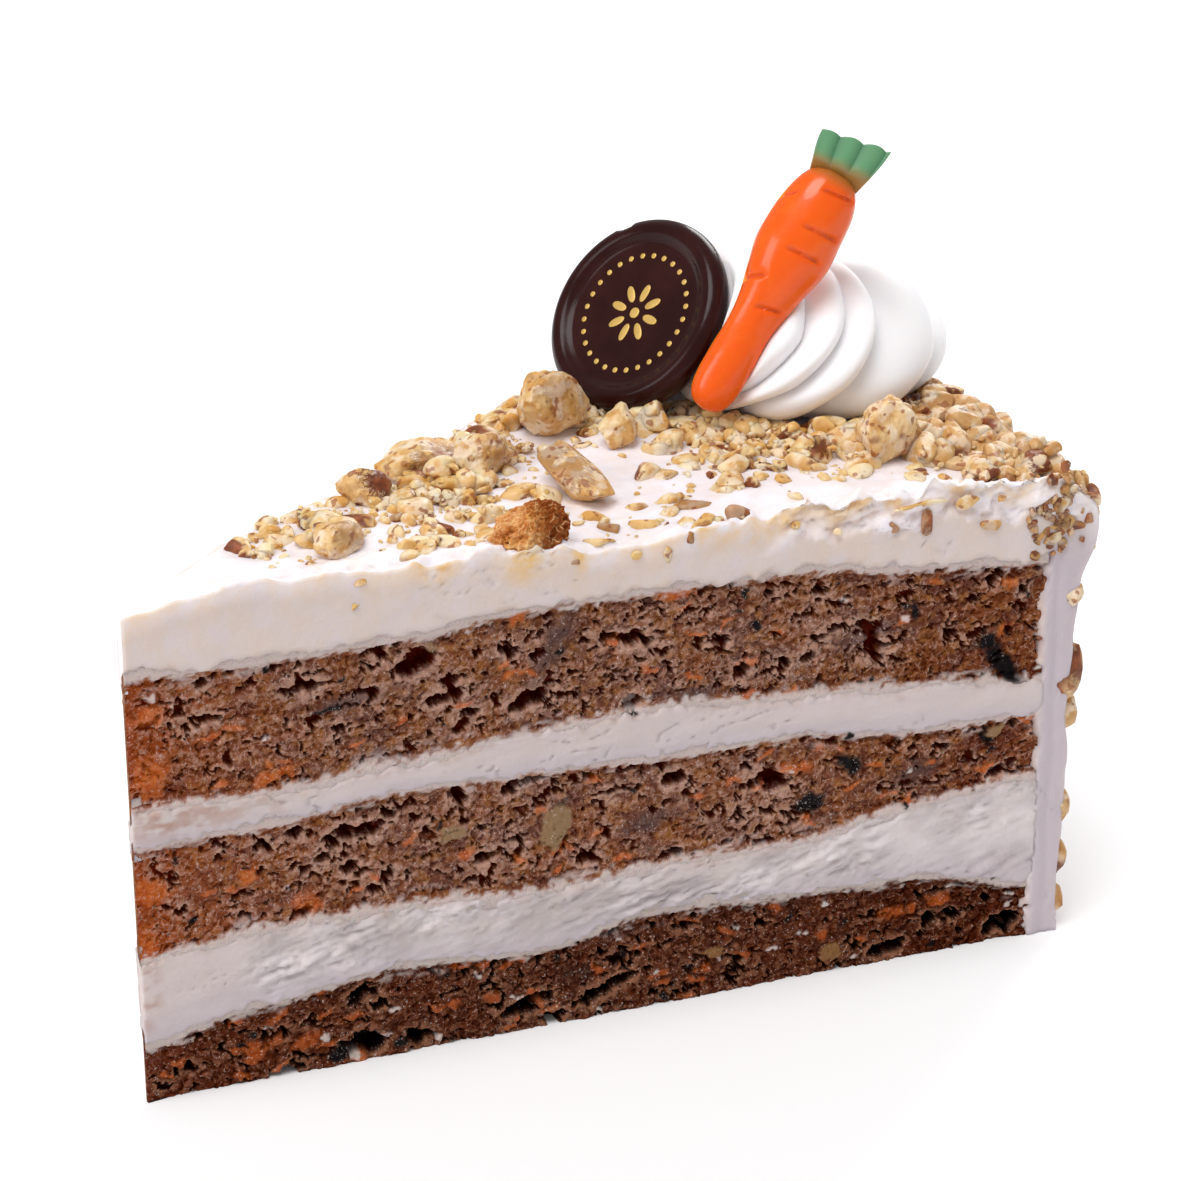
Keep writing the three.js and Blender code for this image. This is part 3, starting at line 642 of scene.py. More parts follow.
# ---- Cream fillings ----------------------------------------------------------------------------
# Two spreads of butter cream between the sponges. The knife leaves them smooth with fine drag
# cracks, and tears the lower one open from near the tip on, so that it shows white flakes.

CREAM_REACH = 1.7  # past its meeting lines, under the crumb
CREAM_DIVE = 2.6  # how far it turns in there, behind the crumb
CREAM_COLUMNS = 420
FAR_RAGGED = 90  # shift of the ragged edge's noise on the far half


def dive(inside):
    """How far the cream's cut face lies behind the knife's plane: flush inside the spread, and
    turned down under the crumb where the place is outside its meeting line."""
    return CREAM_DIVE * (1 - ease(-1.1, 0.55, inside))


def behind_knife(r, side, depth):
    """Push along the cut's normal that puts points at least so deep behind the knife's plane: the
    depth less the distance they already have, and never past the slice's own middle."""
    away = r * np.sin(HALF_ANGLE * (1 - np.abs(side)))
    return -np.clip(np.minimum(depth, DEEPEST_BITE * r + 0.1) - away, 0, None)


def drag_cracks(r, z, seed):
    """Thin level cracks: where a noise stretched along the cut passes through zero."""
    line = np.abs(soft_noise(r / 7.5, z / 0.85, 0, seed))
    return ease(0.07, 0.0, line) * ease(0.0, 0.35, soft_noise(r / 11, z / 4, 0, seed + 1))


def torn_cream(r, z, seed):
    """Relief of torn cream, in mm: flakes whose edges lean with the pull, over a rough noise."""
    lean_r, lean_z = r / 2.6 + z / 3.5, z / 0.9 - r / 3.2
    flake, _, lift = crumb_cells(lean_r + 0.4 * rough_noise(r, z, 0, seed + 2), lean_z, seed)
    drag = rough_noise(lean_r / 1.5, lean_z, 0, seed + 1)
    tear = 0.2 * (lift - 0.5) - 0.08 * flake + 0.22 * drag + 0.07 * rough_noise(r, z / 0.7, 0, seed + 3)
    return tear * (0.7 + 0.6 * soft_noise(r / 9, z / 4, 0, seed + 4))


def cream_filling(name, node, lines, rows, torn_from, stained_to, seed, material):
    """A wedge that reaches a little past both meeting surfaces and dives under the crumb there,
    with smooth or torn relief on its cut faces, and crumb rubbed over it near the tip."""
    squares, r, side, up = wedge_grid((CREAM_COLUMNS, 4, rows))
    foot, top = [layer_height(line, r, side) for line in lines]
    z = foot - CREAM_REACH + (top - foot + 2 * CREAM_REACH) * up
    on_cut = np.abs(side) > ON_CUT
    cut_r, cut_z = r[on_cut], z[on_cut]
    far_r = cut_r + FAR_SHIFT * (side[on_cut] > 0)
    ragged = [0.35 * soft_noise(r / 5 + FAR_RAGGED * (side > 0), 0, 0, seed + n)
              + 0.4 * rough_noise(r / 1.3 + FAR_RAGGED * (side > 0), z / 2, 0, seed + n + 1)
              for n in (10, 20)]
    inside = np.minimum(z - foot + ragged[0], top - z + ragged[1])
    wander = 2.5 * rough_noise(far_r / 4, cut_z / 3, 0, seed + 30)
    torn = ease(torn_from, torn_from + 5, cut_r + wander)
    torn = torn * ease(-0.75, 0.1, soft_noise(far_r / 13, cut_z / 7, 0, seed + 31) + 0.25)
    calm = 0.14 * rough_noise(far_r / 6, cut_z / 2.6, 0, seed + 40)
    calm = calm - 0.3 * drag_cracks(far_r, cut_z, seed + 50)
    out = behind_knife(r, side, dive(inside))
    out[on_cut] += 0.12 + calm * (1 - torn) + 1.7 * torn * torn_cream(far_r, cut_z, seed + 60)
    rubbed = ease(-0.3, 0.6, rough_noise(far_r / 2.0, cut_z / 1.2, 0, seed + 80))
    rubbed = rubbed * ease(stained_to, 0.4 * stained_to, cut_r)
    edge = ease(1.3, -0.3, inside + 0.4 * rough_noise(r / 1.1, z / 0.8, 0, seed + 70))
    edge[on_cut] = np.maximum(edge[on_cut], 1.6 * rubbed)
    marks = {mark: np.zeros(len(r)) for mark in ("torn", "oil", "torn_shade")}
    marks["torn"][on_cut], marks["torn_shade"][on_cut] = torn, 0.6 * torn
    # Greyer towards the filling's foot, through the coat mark.
    marks["coat"] = 0.8 * ease(0.6, 0.0, (z - foot) / (top - foot + 0.01))
    marks.update(cut=np.ones(len(r)), edge=edge)
    make_piece(name, on_slice(r, side, z, out), squares, material, node, marks)


def cream_material(name, cut_colour, skin_colour, oil_colour):
    """Soft cream: warm where the knife cut it, white on its spread and torn surfaces with patches of
    painted grey shade on the torn ones, brownish at the crumb's edge, greyer where the coat mark lies,
    yellow where nut oil has run; light passes a little way in."""
    material, tree, shader = new_material(
        name, Roughness=0.5, Specular_IOR_Level=0.35, Subsurface_Weight=0.3,
        Subsurface_Scale=0.0025, Subsurface_Radius=(1.0, 0.85, 0.65))
    grit = grain(tree, 260.0, 1500.0)
    mask = grit[0]
    colour = layered(tree, skin_colour, [
        ("cut", 1, cut_colour), ("torn", 0.8, skin_colour),
        # Painted shade: grey patches over the torn cream.
        ("torn_shade", spread(tree, cloud(tree, 85.0, 2.0), 0.42, 0.6), (168, 156, 154)),
        (spread(tree, mask, 0.35, 0.7), 0.2, oil_colour),
        ("edge", spread(tree, mask, 0.25, 0.7, 0.1, 0.5), (170, 128, 108)),
        ("coat", 1, (196, 184, 190)), ("oil", spread(tree, mask, 0.3, 0.6), oil_colour)])
    finish_surface(tree, shader, colour, grit, (0.35, 0.0005))
    return material


filling_cream = cream_material(
    "filling_cream", (208, 195, 194), (222, 213, 214), (200, 184, 164))
cream_filling("cream_lower_filling", "cream_lower", (BOTTOM_SPONGE_TOP, MIDDLE_SPONGE_FOOT),
              46, 14.0, 5.0, 400, filling_cream)
cream_filling("cream_upper_filling", "cream_upper", (MIDDLE_SPONGE_TOP, TOP_SPONGE_FOOT),
              34, 400.0, 26.0, 500, filling_cream)

# ---- Frosting ----------------------------------------------------------------------------------
# One spread of frosting over the top and down the outer wall, put on with a spatula. Its top edge
# is torn up along the near cut, and nut oil has stained the cut below the nuts.

FROSTING_TOP = [68.1, 70.2, 69.7, 68.5, 67.9, 69.0, 68.0, 67.2]
TIP_SWELL = {"height": 2.4, "at": 24.0, "reach": 15.0}
RIM_DROP = 1.6
RIM_ROUND = 3.6
RIM_SWELL = {"depth": 3.2, "at": 61.0, "reach": 6.5}
TOP_SHARE, ROUND_SHARE = 0.66, 0.05  # of the grid along the outer line
FROSTING_CELLS = (340, 24, 92)
FROSTING_MARKS = ("cut", "torn", "oil", "edge", "coat", "torn_shade")
LIP = [0.5, 0.9, 1.3, 1.7, 1.0, 1.9, 2.4, 1.6]  # its height every 18 mm along the near cut
# Runs of nut oil down the cut: distance from the tip, half width and length
OIL_RUNS = [(53.0, 2.6, 6.0), (60.0, 0.9, 4.0), (76.5, 0.8, 3.2), (83.5, 0.7, 6.0),
            (97.0, 3.4, 4.2), (103.5, 1.2, 4.6), (88.0, 3.0, 5.0), (79.5, 1.6, 4.6),
            (41.0, 2.2, 4.0), (114.0, 2.4, 5.0), (121.0, 2.0, 4.0)]


def bell(value, middle, reach):
    """1 at the middle, falling off on both sides as exp(-t^2), with t the part of the reach."""
    return np.exp(-(((value - middle) / reach) ** 2))


def frosting_height(r, side):
    """Top of the frosting before its relief: the meeting line, a swell near the tip and a drop
    at the rim."""
    swell = TIP_SWELL["height"] * bell(r, TIP_SWELL["at"], TIP_SWELL["reach"])
    rim = RIM_DROP * ease(CAKE_RADIUS - 5, CAKE_RADIUS, r)
    return layer_height(FROSTING_TOP, r, side) + swell * (0.4 + 0.35 * side) - rim


def rim_swell(z):
    """How far the rim hangs over the wall at a height."""
    return RIM_SWELL["depth"] * bell(z, RIM_SWELL["at"], RIM_SWELL["reach"])


def spatula_relief(r, side):
    """Height of the spatula's waves, in mm, and of the lip torn up along the near cut."""
    x, y = r * np.cos(side * HALF_ANGLE), r * np.sin(side * HALF_ANGLE)
    waves = 0.5 * soft_noise(x / 12, y / 6, 0, 31) + 0.2 * rough_noise(x / 3.4, y / 2.4, 0, 32)
    from_cut = x * math.sin(HALF_ANGLE) + y * math.cos(HALF_ANGLE)
    torn = 0.5 + 0.55 * rough_noise(r / 3.2, from_cut / 2.4, 0, 33)
    torn = torn + 0.22 * rough_noise(r / 1.3, from_cut / 1.2, 0, 36) * ease(60, 90, r)
    lip = 1.15 * along_cut(LIP, r) * torn * bell(from_cut, 1.0, 2.0)
    return waves + lip * ease(2, 10, r)


def frosting_top(x, y):
    """Height of the finished frosting under a place, for what lies on it: the relief, rounded
    down past the rim's corner."""
    r, side = np.hypot(x, y), np.clip(np.arctan2(y, x) / HALF_ANGLE, -1, 1)
    past = np.clip((r - CAKE_RADIUS + RIM_ROUND) / (RIM_ROUND + 2.2), 0, 1)
    drop = RIM_ROUND * (1 - np.sqrt(1 - past**2))
    return frosting_height(r, side) + spatula_relief(r, side) - drop


def oil_on_cut(r, below):
    """Stain below the top edge: a faint band all along, and runs that fade with depth."""
    stain = 0.45 * np.exp(-below / 1.6)
    for run_r, half_width, length in OIL_RUNS:
        stain = stain + bell(r, run_r, half_width) * ease(length, 0.4, below)
    return np.clip(stain, 0, 1)


def frosting_spread():
    """An L carried round the slice. Its outer line runs along the top, round the rim and down
    the wall; its inner line runs along the sponge and down inside the coat; the grid goes along
    the lines, across from the inner to the outer one, and from the near to the far cut."""
    places, squares = box_shell(FROSTING_CELLS)
    run, across, turn = places.T
    side = 2 * (0.35 * turn + 0.65 * turn**2) - 1
    along_top = np.clip(run / TOP_SHARE, 0, 1)
    round_rim = np.clip((run - TOP_SHARE) / ROUND_SHARE, 0, 1)
    down_wall = np.clip((run - TOP_SHARE - ROUND_SHARE) / (1 - TOP_SHARE - ROUND_SHARE), 0, 1)
    corner, bent = CAKE_RADIUS - RIM_ROUND, round_rim * np.pi / 2
    outer_r = TIP_RADIUS + (corner - TIP_RADIUS) * along_top + RIM_ROUND * np.sin(bent)
    top = frosting_height(np.minimum(outer_r, corner), side) - RIM_ROUND * (1 - np.cos(bent))
    outer_z = top * (1 - down_wall)
    in_coat = np.clip((outer_r - CAKE_INSIDE) / COAT_THICKNESS, 0, 1)
    outer_r = outer_r + rim_swell(outer_z) * in_coat
    inner_r = TIP_RADIUS + (CAKE_INSIDE - 1.0 - TIP_RADIUS) * along_top
    sponge_top = layer_height(TOP_SPONGE_TOP, inner_r, side)
    inner_z = (sponge_top - CREAM_REACH) * (1 - down_wall)
    wall = ease(0.3, 1, round_rim)
    bends = 0.35 * rough_noise(side * 9, outer_z / 9, 0, 41) * across * wall
    r = inner_r + (outer_r - inner_r) * across + bends
    lift = spatula_relief(r, side) * across * (1 - wall)
    z = inner_z + (outer_z - inner_z) * across + lift
    on_cut = np.abs(side) > ON_CUT
    cut_r, cut_z, wall_cut = r[on_cut], z[on_cut], wall[on_cut]
    far_r = cut_r + FAR_SHIFT * (side[on_cut] > 0)
    ragged = 0.8 * rough_noise(r / 2.4 + FAR_RAGGED * (side > 0), z / 3, 0, 42)
    inside = np.maximum(z - layer_height(TOP_SPONGE_TOP, r, side), r - CAKE_INSIDE) + ragged
    below = (outer_z + spatula_relief(r, side))[on_cut] - cut_z
    band_foot = below + 0.9 * rough_noise(far_r / 4, cut_z / 3, 0, 43)
    rough_band = ease(84, 90, cut_r) * ease(5.0, 4.0, band_foot) * (1 - wall_cut)
    groove_r = CAKE_INSIDE + 2.2 - 0.5 * soft_noise(cut_z / 9, 0, 0, 49)
    relief = 0.1 * rough_noise(far_r / 5, cut_z / 3, 0, 44) - 0.25 * drag_cracks(far_r, cut_z, 45)
    lumps = 0.9 * rough_noise(far_r / 4.0, cut_z / 2.0, 0, 46) + 2.0 * torn_cream(far_r, cut_z, 48)
    lumps = lumps + 0.3 * rough_noise(far_r / 1.5, cut_z / 0.9, 0, 50)
    relief = relief + rough_band * (lumps - 0.5) - 0.22 * bell(cut_r, groove_r, 0.7) * wall_cut
    out = behind_knife(r, side, dive(inside))
    out[on_cut] += 0.15 + relief
    marks = {mark: np.zeros(len(r)) for mark in FROSTING_MARKS}
    cut = 0.35 * ease(0.0, 0.6, below) + 0.65 * ease(0.3, 3.2, below)
    marks["cut"][on_cut] = (1 - 0.85 * rough_band) * cut
    marks["torn"][on_cut] = rough_band
    marks["oil"][on_cut] = oil_on_cut(cut_r, below) * (1 - wall_cut) * (1 - 0.25 * rough_band)
    marks["edge"][on_cut] = ease(1.2, -0.2, inside[on_cut] + 0.3 * soft_noise(far_r, cut_z, 0, 47))
    in_wall = ease(CAKE_INSIDE - 0.6, CAKE_INSIDE + 0.8, cut_r)
    marks["coat"][on_cut] = in_wall * ease(64, 56, cut_z)
    return on_slice(r, side, z, out), squares, marks


frosting_white = cream_material(
    "frosting_white", (216, 203, 201), (244, 238, 244), (230, 186, 112))
points, squares, marks = frosting_spread()
make_piece("frosting_cream", points, squares, frosting_white, "frosting", marks)

# ---- Large walnut pieces -----------------------------------------------------------------------
# Eight pieces of kernel as large as berries, broken along the kernel's folds: waxy pale flesh
# inside, wrinkled skin outside. They lie on the frosting.

# x and y, the sizes along, across and up, turn and tilt in degrees, skin, tone, and how lumpy
WALNUTS = [
    (77.6, 14.2, (10.6, 7.4, 9.8), -10, 0, 0.3, 0.6, 0.12),
    (68.8, -3.0, (16.4, 6.8, 5.0), -88, 16, 0.5, 0.9, 0.03),
    (82.4, 5.4, (6.6, 5.8, 5.4), 10, 0, 0.0, 0.2, 0.09),
    (63.2, 9.6, (8.6, 7.2, 5.2), 35, 0, 0.4, 0.4, 0.16),
    (55.6, 13.4, (11.0, 7.6, 5.0), -30, 0, 0.6, 0.7, 0.06),
    (44.6, 9.6, (7.2, 6.0, 4.8), -15, 0, 1.0, 0.8, 0.12),
    (31.6, -2.6, (7.6, 5.8, 4.4), 50, 0, 0.4, 0.7, 0.09),
    (108.2, -19.6, (9.9, 8.0, 9.4), -40, 0, 0.7, 0.5, 0.14)]
WALNUT_CELLS, WALNUT_PLANES, WALNUT_CORNERS = 38, 13, 22
BLOCK_SHARE = 0.28  # how much of a walnut's form is a rounded block
FIT_GAP = 0.3  # between a walnut piece and the frosting
SEAT_SHARE = 0.28  # how much of a walnut's lower half is cut flat where it lies
NUT_EDGE = math.radians(48)  # folds sharper than this stay crisp
NUT_CORNERS = 9  # the higher, the sharper the corners where broken faces meet


def unit_ball(cells):
    """A box's grid drawn onto a ball of radius 1, and its squares."""
    places, squares = box_shell(cells)
    ball = 2 * places - 1
    return ball / np.linalg.norm(ball, axis=1)[:, None], squares


def rounded_block(ball, power):
    """How far a rounded block reaches in a ball's directions: the higher the power, the squarer."""
    return (np.abs(ball) ** power).sum(axis=1) ** (-1 / power)


def turned(points, angle, first, second):
    """Turns points, or each chunk by its own angle, in the plane of two axes."""
    sin, cos = np.sin(angle), np.cos(angle)
    result = points.copy()
    result[..., first] = points[..., first] * cos - points[..., second] * sin
    result[..., second] = points[..., first] * sin + points[..., second] * cos
    return result


def nut_chunks(count, cells, planes, draw, corners=NUT_CORNERS):
    """Uneven chunks of about unit radius. A ball's every direction reaches out to some random
    planes, blended so that the nearest counts most (a sum of powers), which rounds the corners;
    none reaches past 1.2. Also gives one skin mask per point: the side that faces a random
    direction."""
    ball, squares = unit_ball((cells,) * 3)
    normals = draw.normal(size=(count, planes, 3))
    normals /= np.linalg.norm(normals, axis=2)[:, :, None]
    distances = draw.uniform(0.55, 1.0, (count, planes))
    lean = np.einsum("vk,cpk->cvp", ball, normals)
    closeness = (np.maximum(lean, 0.08) / distances[:, None, :]) ** corners
    reach = closeness.sum(axis=2) ** (-1 / corners)
    skin = ease(0.35, 0.6, lean[:, :, 0] + 0.25 * draw.uniform(-1, 1, lean.shape[:2]))
    return ball[None] * np.minimum(reach, 1.2)[:, :, None], squares, skin


def walnut_material():
    """Waxy kernel flesh from pale to golden by the chunk's tone and by patches, with painted shade in
    amber-brown towards the rim, a whitish film, brown flecks and brown papery skin that grain breaks up."""
    material, tree, shader = new_material(
        "walnut_flesh", Specular_IOR_Level=0.45, Subsurface_Weight=0.4,
        Subsurface_Scale=0.0016, Subsurface_Radius=(1.0, 0.8, 0.45))
    grit = grain(tree, 420.0, 2200.0)
    mask, patch = grit[0], cloud(tree, 330.0, 2.0)
    skin_brown = mixed(tree, spread(tree, mask, 0.35, 0.65), (84, 32, 10), (150, 80, 38))
    colour = layered(tree, (238, 216, 172), [
        ("tone", 1, (218, 172, 100)),
        (spread(tree, patch, 0.46, 0.58), 0.75, (204, 146, 58)),
        ("nut_shade", spread(tree, patch, 0.3, 0.6, 0.5, 1.0), (182, 132, 78)),
        (spread(tree, mask, 0.52, 0.7), 0.4, (240, 220, 182)),
        (spread(tree, cloud(tree, 430.0, 4.0), 0.5, 0.58), 0.55, (240, 226, 206)),
        (spread(tree, cloud(tree, 760.0, 1.0), 0.62, 0.67), 0.8, (150, 88, 46)),
        ("skin", spread(tree, mask, 0.3, 0.42), skin_brown)])
    finish_surface(tree, shader, colour, grit, (0.25, 0.0004), (0.3, 0.7, 0.3, 0.58))
    return material


walnut_flesh = walnut_material()


def walnut_piece(number, x, y, size, turn, tilt, skinned, tone, lumpy):
    """A broad chunk with broken faces: reach to random planes, blended with a rounded block,
    swollen into lobes, pitted and folded by noise, tilted about its width, turned, and cut flat
    where it lies on the frosting."""
    draw = np.random.default_rng(700 + number)
    shapes, squares, skin = nut_chunks(1, WALNUT_CELLS, WALNUT_PLANES, draw, WALNUT_CORNERS)
    body, skin = shapes[0], skin[0]
    ball = body / np.linalg.norm(body, axis=1)[:, None]
    block = 0.86 * ball * rounded_block(ball, 4)[:, None]
    body = (1 - BLOCK_SHARE) * body + BLOCK_SHARE * block
    lobes = lumpy * soft_noise(*(body * 2.2 + 5).T, 800 + number)
    pits = 0.4 * lumpy * rough_noise(*(body * 5.0).T, 820 + number)
    skin = np.clip(skin + ease(0.5, 0.75, soft_noise(*(body * 2.4 + 3).T, 840 + number)), 0, 1)
    body = body * (1 + lobes + pits)[:, None] * np.array(size) / 2
    body = turned(turned(body, -math.radians(tilt), 0, 2), math.radians(turn), 0, 1) + (x, y, 0)
    r, angle = np.hypot(body[:, 0], body[:, 1]), np.arctan2(body[:, 1], body[:, 0])
    seat = frosting_height(r, angle / HALF_ANGLE).max() + FIT_GAP
    z = body[:, 2]
    body[:, 2] = np.maximum(seat - 0.5, seat + z - z.min() * (1 - SEAT_SHARE))
    # A slight painted shade over the whole piece.
    marks = {"skin": np.clip(skin * 1.2, 0, 1) * skinned, "nut_shade": np.full(len(z), 0.15),
             "tone": np.full(len(z), tone)}
    piece = make_piece(f"walnut_{number}_kernel", body, squares, walnut_flesh,
                       f"walnut_{number}", marks)
    piece.data.set_sharp_from_angle(angle=NUT_EDGE)


for number, walnut in enumerate(WALNUTS, start=1):
    walnut_piece(number, *walnut)

# ---- Chopped walnut ----------------------------------------------------------------------------
# Walnut chopped by hand: pale waxy kernels, pieces with brown skin and fine crumbs, pressed into
# the frosting on top, thickest round the rosette's foot and the rim, and into the outer wall.

# Where nuts lie thick on the top: x, y, reach in mm and how thick
HEAPS = [(52, 4, 9, 0.8), (48, 10, 8, 0.9), (66, 16, 8, 0.8), (30, 6, 6, 0.7), (41, -6, 5, 0.5),
         (97, 0, 9, 1.0), (106, -12, 8, 0.9), (80, 20, 8, 0.8), (88, 12, 7, 0.9), (118, -22, 9, 1.0),
         (82, -11, 7, 0.12), (70, -19, 6, 0.12), (95, -10, 6, 0.4)]
RIM_HEAP = {"at": 128.0, "reach": 6.0, "thick": 1.6}
ROSETTE_PLACE = (115.5, 7.8, 69.6)
ROSETTE_CLEAR = 19.0
MAP_STEP = 0.5  # of the map of heights that the chunks are laid on
MAP_HALF = 43.0
SUNK = 0.16  # part of its half height that a chunk sinks in
# Single pieces: x, y, the half sizes along, across and up, the turn in degrees, tone and skin
SINGLE_PIECES = np.array([
    (73.1, 8.4, 1.7, 1.5, 2.2, 10, 0.15, 0), (63.9, -3.6, 2.5, 2.3, 2.1, 0, 0.1, 0),
    (71.1, 12.5, 2.0, 1.2, 1.2, -20, 0.9, 1), (80.3, -7.1, 1.7, 1.4, 0.7, -30, 0.3, 0.5),
    (84.6, -7.4, 1.8, 1.5, 0.8, 20, 0.2, 0.5), (78.1, -13.3, 1.3, 1.1, 0.7, 0, 0.1, 0),
    (75.5, -12.5, 1.7, 0.8, 0.5, -40, 0.15, 0), (71.7, -12.3, 1.7, 1.1, 0.6, -30, 0.6, 0.5),
    (77.5, -16.9, 2.7, 1.0, 0.7, -25, 0.6, 1), (82.9, -16.1, 1.8, 1.6, 0.9, 0, 0.2, 0),
    (84.2, -17.9, 0.8, 0.7, 0.5, 0, 0.3, 0), (65.4, -14.6, 1.7, 1.3, 1.2, -60, 1.0, 1),
    (60.6, -18.0, 2.8, 1.4, 0.9, -18, 0.5, 0), (62.7, -11.4, 1.0, 0.8, 0.5, 0, 0.1, 0),
    (73.9, -22.4, 1.9, 1.5, 1.4, -20, 0.9, 0.6), (72.4, -20.4, 1.5, 1.2, 0.9, 0, 0.1, 0),
    (75.8, -23.4, 1.3, 0.8, 0.6, -18, 0.2, 0), (78.6, -24.0, 1.9, 1.4, 1.4, -30, 1.0, 1),
    (90.5, -6.3, 1.7, 1.5, 1.4, 0, 0.15, 0), (91.8, 1.0, 2.7, 2.0, 1.6, 30, 0.8, 0.6),
    (92.8, -6.1, 1.0, 0.8, 0.8, 0, 1.0, 1), (90.9, -12.1, 1.2, 1.1, 1.0, 0, 1.0, 1),
    (115.0, -16.1, 1.8, 1.3, 2.2, 0, 1.0, 1), (111.6, -24.4, 1.3, 1.2, 1.2, 0, 0.1, 0),
    (101.5, -21.7, 2.0, 1.7, 1.3, 0, 0.15, 0), (120.3, -20.0, 1.9, 1.6, 1.4, 0, 1.0, 1),
    (115.4, -27.2, 3.3, 2.5, 2.0, -20, 0.25, 0.3), (112.6, -32.4, 2.2, 1.0, 0.9, -18, 0.8, 1),
    (115.9, -34.7, 0.9, 0.8, 0.9, 0, 1.0, 1), (121.8, -26.6, 2.5, 2.2, 2.2, 20, 0.2, 0),
    (126.4, -13.7, 2.0, 1.8, 2.3, 0, 0.1, 0), (121.4, -32.0, 3.0, 2.2, 2.0, -15, 0.15, 0),
    (117.6, -35.6, 2.6, 1.8, 1.7, -18, 0.6, 0.3), (121.4, -37.0, 2.6, 2.0, 2.0, -30, 0.3, 0.2),
    (27.2, 3.6, 2.0, 1.7, 1.6, 40, 0.2, 0), (29.1, 9.0, 2.3, 1.6, 1.5, 60, 0.6, 0.3),
    (33.1, 8.6, 2.2, 1.7, 1.4, 0, 0.3, 0.3), (34.9, 5.6, 0.9, 0.7, 0.8, 0, 1.0, 1),
    (52.6, 7.0, 1.8, 0.7, 0.6, 10, 1.0, 1), (46.9, -3.1, 2.2, 1.2, 1.0, -50, 1.0, 1),
    (42.6, 0.7, 1.9, 0.9, 0.8, 20, 0.9, 1), (38.4, -7.0, 1.5, 1.3, 1.1, 0, 0.9, 0.4),
    (40.3, -9.0, 1.9, 1.5, 1.2, 10, 0.6, 0.3), (37.2, -10.0, 1.8, 1.1, 0.9, -18, 0.7, 0.3)])
# Pieces that show in the cut frosting: r, z, half length, half height, roll in degrees, tone, skin
CUT_PIECES = np.array([
    (107.0, 67.6, 3.3, 0.5, 4, 0.4, 0), (113.7, 67.1, 1.6, 0.9, 20, 0.9, 0.2),
    (117.0, 63.1, 1.5, 0.9, 0, 1.0, 0.3), (103.2, 64.9, 1.0, 0.8, -20, 1.0, 1),
    (107.9, 65.0, 1.1, 1.7, -15, 1.0, 1), (118.6, 66.7, 0.7, 0.6, 0, 0.9, 0.5),
    (131.4, 62.2, 0.8, 0.9, 0, 1.0, 1), (127.4, 64.6, 1.4, 1.2, 30, 0.9, 0.6),
    (128.3, 61.8, 1.5, 1.0, -40, 0.9, 0.8), (126.7, 60.2, 1.6, 0.8, 20, 0.9, 0.5),
    (128.4, 66.4, 1.2, 0.9, 0, 0.8, 0.3), (124.6, 60.6, 1.3, 0.5, 25, 1.0, 0.8),
    (72.0, 66.1, 0.7, 1.2, 0, 1.0, 0.2), (67.8, 66.6, 0.8, 0.6, 0, 0.9, 0),
    (59.5, 66.8, 0.6, 0.4, 0, 1.0, 1), (74.9, 67.6, 0.7, 1.0, 20, 1.0, 1),
    (31.4, 68.3, 0.8, 0.6, 10, 1.0, 0.3), (30.7, 65.4, 0.6, 0.5, 0, 1.0, 0.6),
    (89.5, 67.2, 0.7, 0.6, 0, 1.0, 0.3), (95.4, 65.6, 0.6, 0.4, 0, 0.8, 0)])
CUT_DEPTH = 0.45  # half of what such a piece reaches into the cream
# Larger pieces on the wall, by the near cut: side, z and the half sizes level, upright and out
WALL_PIECES = np.array([
    (-0.955, 39.8, 2.4, 4.2, 2.2), (-0.95, 33.0, 2.1, 3.4, 2.0), (-0.95, 18.0, 2.1, 3.2, 1.9),
    (-0.95, 9.9, 2.1, 3.4, 1.9), (-0.955, 4.6, 2.0, 2.8, 1.7), (-0.97, 57.6, 1.1, 1.3, 0.9)])
# On the top: name, count, cells and planes of a chunk, least and most half length, part with skin
TOP_KINDS = [("walnut_chunks_top", 165, 8, 9, 1.5, 3.3, 0.4),
             ("walnut_bits_top", 240, 4, 8, 0.7, 1.5, 0.4),
             ("walnut_crumbs_top", 520, 2, 6, 0.25, 0.65, 0.3)]
RIM = {"count": 130, "r": (117, 130), "side": (-0.95, 0.97), "half_length": (1.7, 3.6)}
WALL = {"count": 190, "under_rim": 100, "least": 0.8, "more": 1.9, "halves": (1.0, 0.8, 0.55)}
RIM_CRUMBS = {"count": 70, "r": (126.8, 1.9), "z": (63.0, 2.8), "half": (0.3, 0.9)}


def nut_share(x, y):
    """How thick nuts lie at a place, 0 to 1: the heaps' soft rounds and the band at the rim, and
    nothing near the tip, along the near cut, under the rosette or in a large piece's place."""
    r = np.hypot(x, y)
    from_cut = x * math.sin(HALF_ANGLE) + y * math.cos(HALF_ANGLE)
    share = RIM_HEAP["thick"] * bell(r, RIM_HEAP["at"], RIM_HEAP["reach"])
    for heap_x, heap_y, reach, thick in HEAPS:
        share = share + thick * np.exp(-((x - heap_x) ** 2 + (y - heap_y) ** 2) / reach**2)
    margin = 0.2 + 0.8 * ease(124, 118, r) + 3 * ease(74, 88, r) * ease(122, 110, r)
    share = (share + 0.03) * ease(17, 24, r) * ease(margin, 2 * margin + 2, from_cut)
    from_rosette = np.hypot(x - ROSETTE_PLACE[0], y - ROSETTE_PLACE[1])
    clear = ease(ROSETTE_CLEAR - 2, ROSETTE_CLEAR, from_rosette)
    for walnut_x, walnut_y, size, *_ in WALNUTS:
        clear = clear * (np.hypot(x - walnut_x, y - walnut_y) > 0.21 * (size[0] + size[1]))
    return np.clip(share, 0, 1) * clear


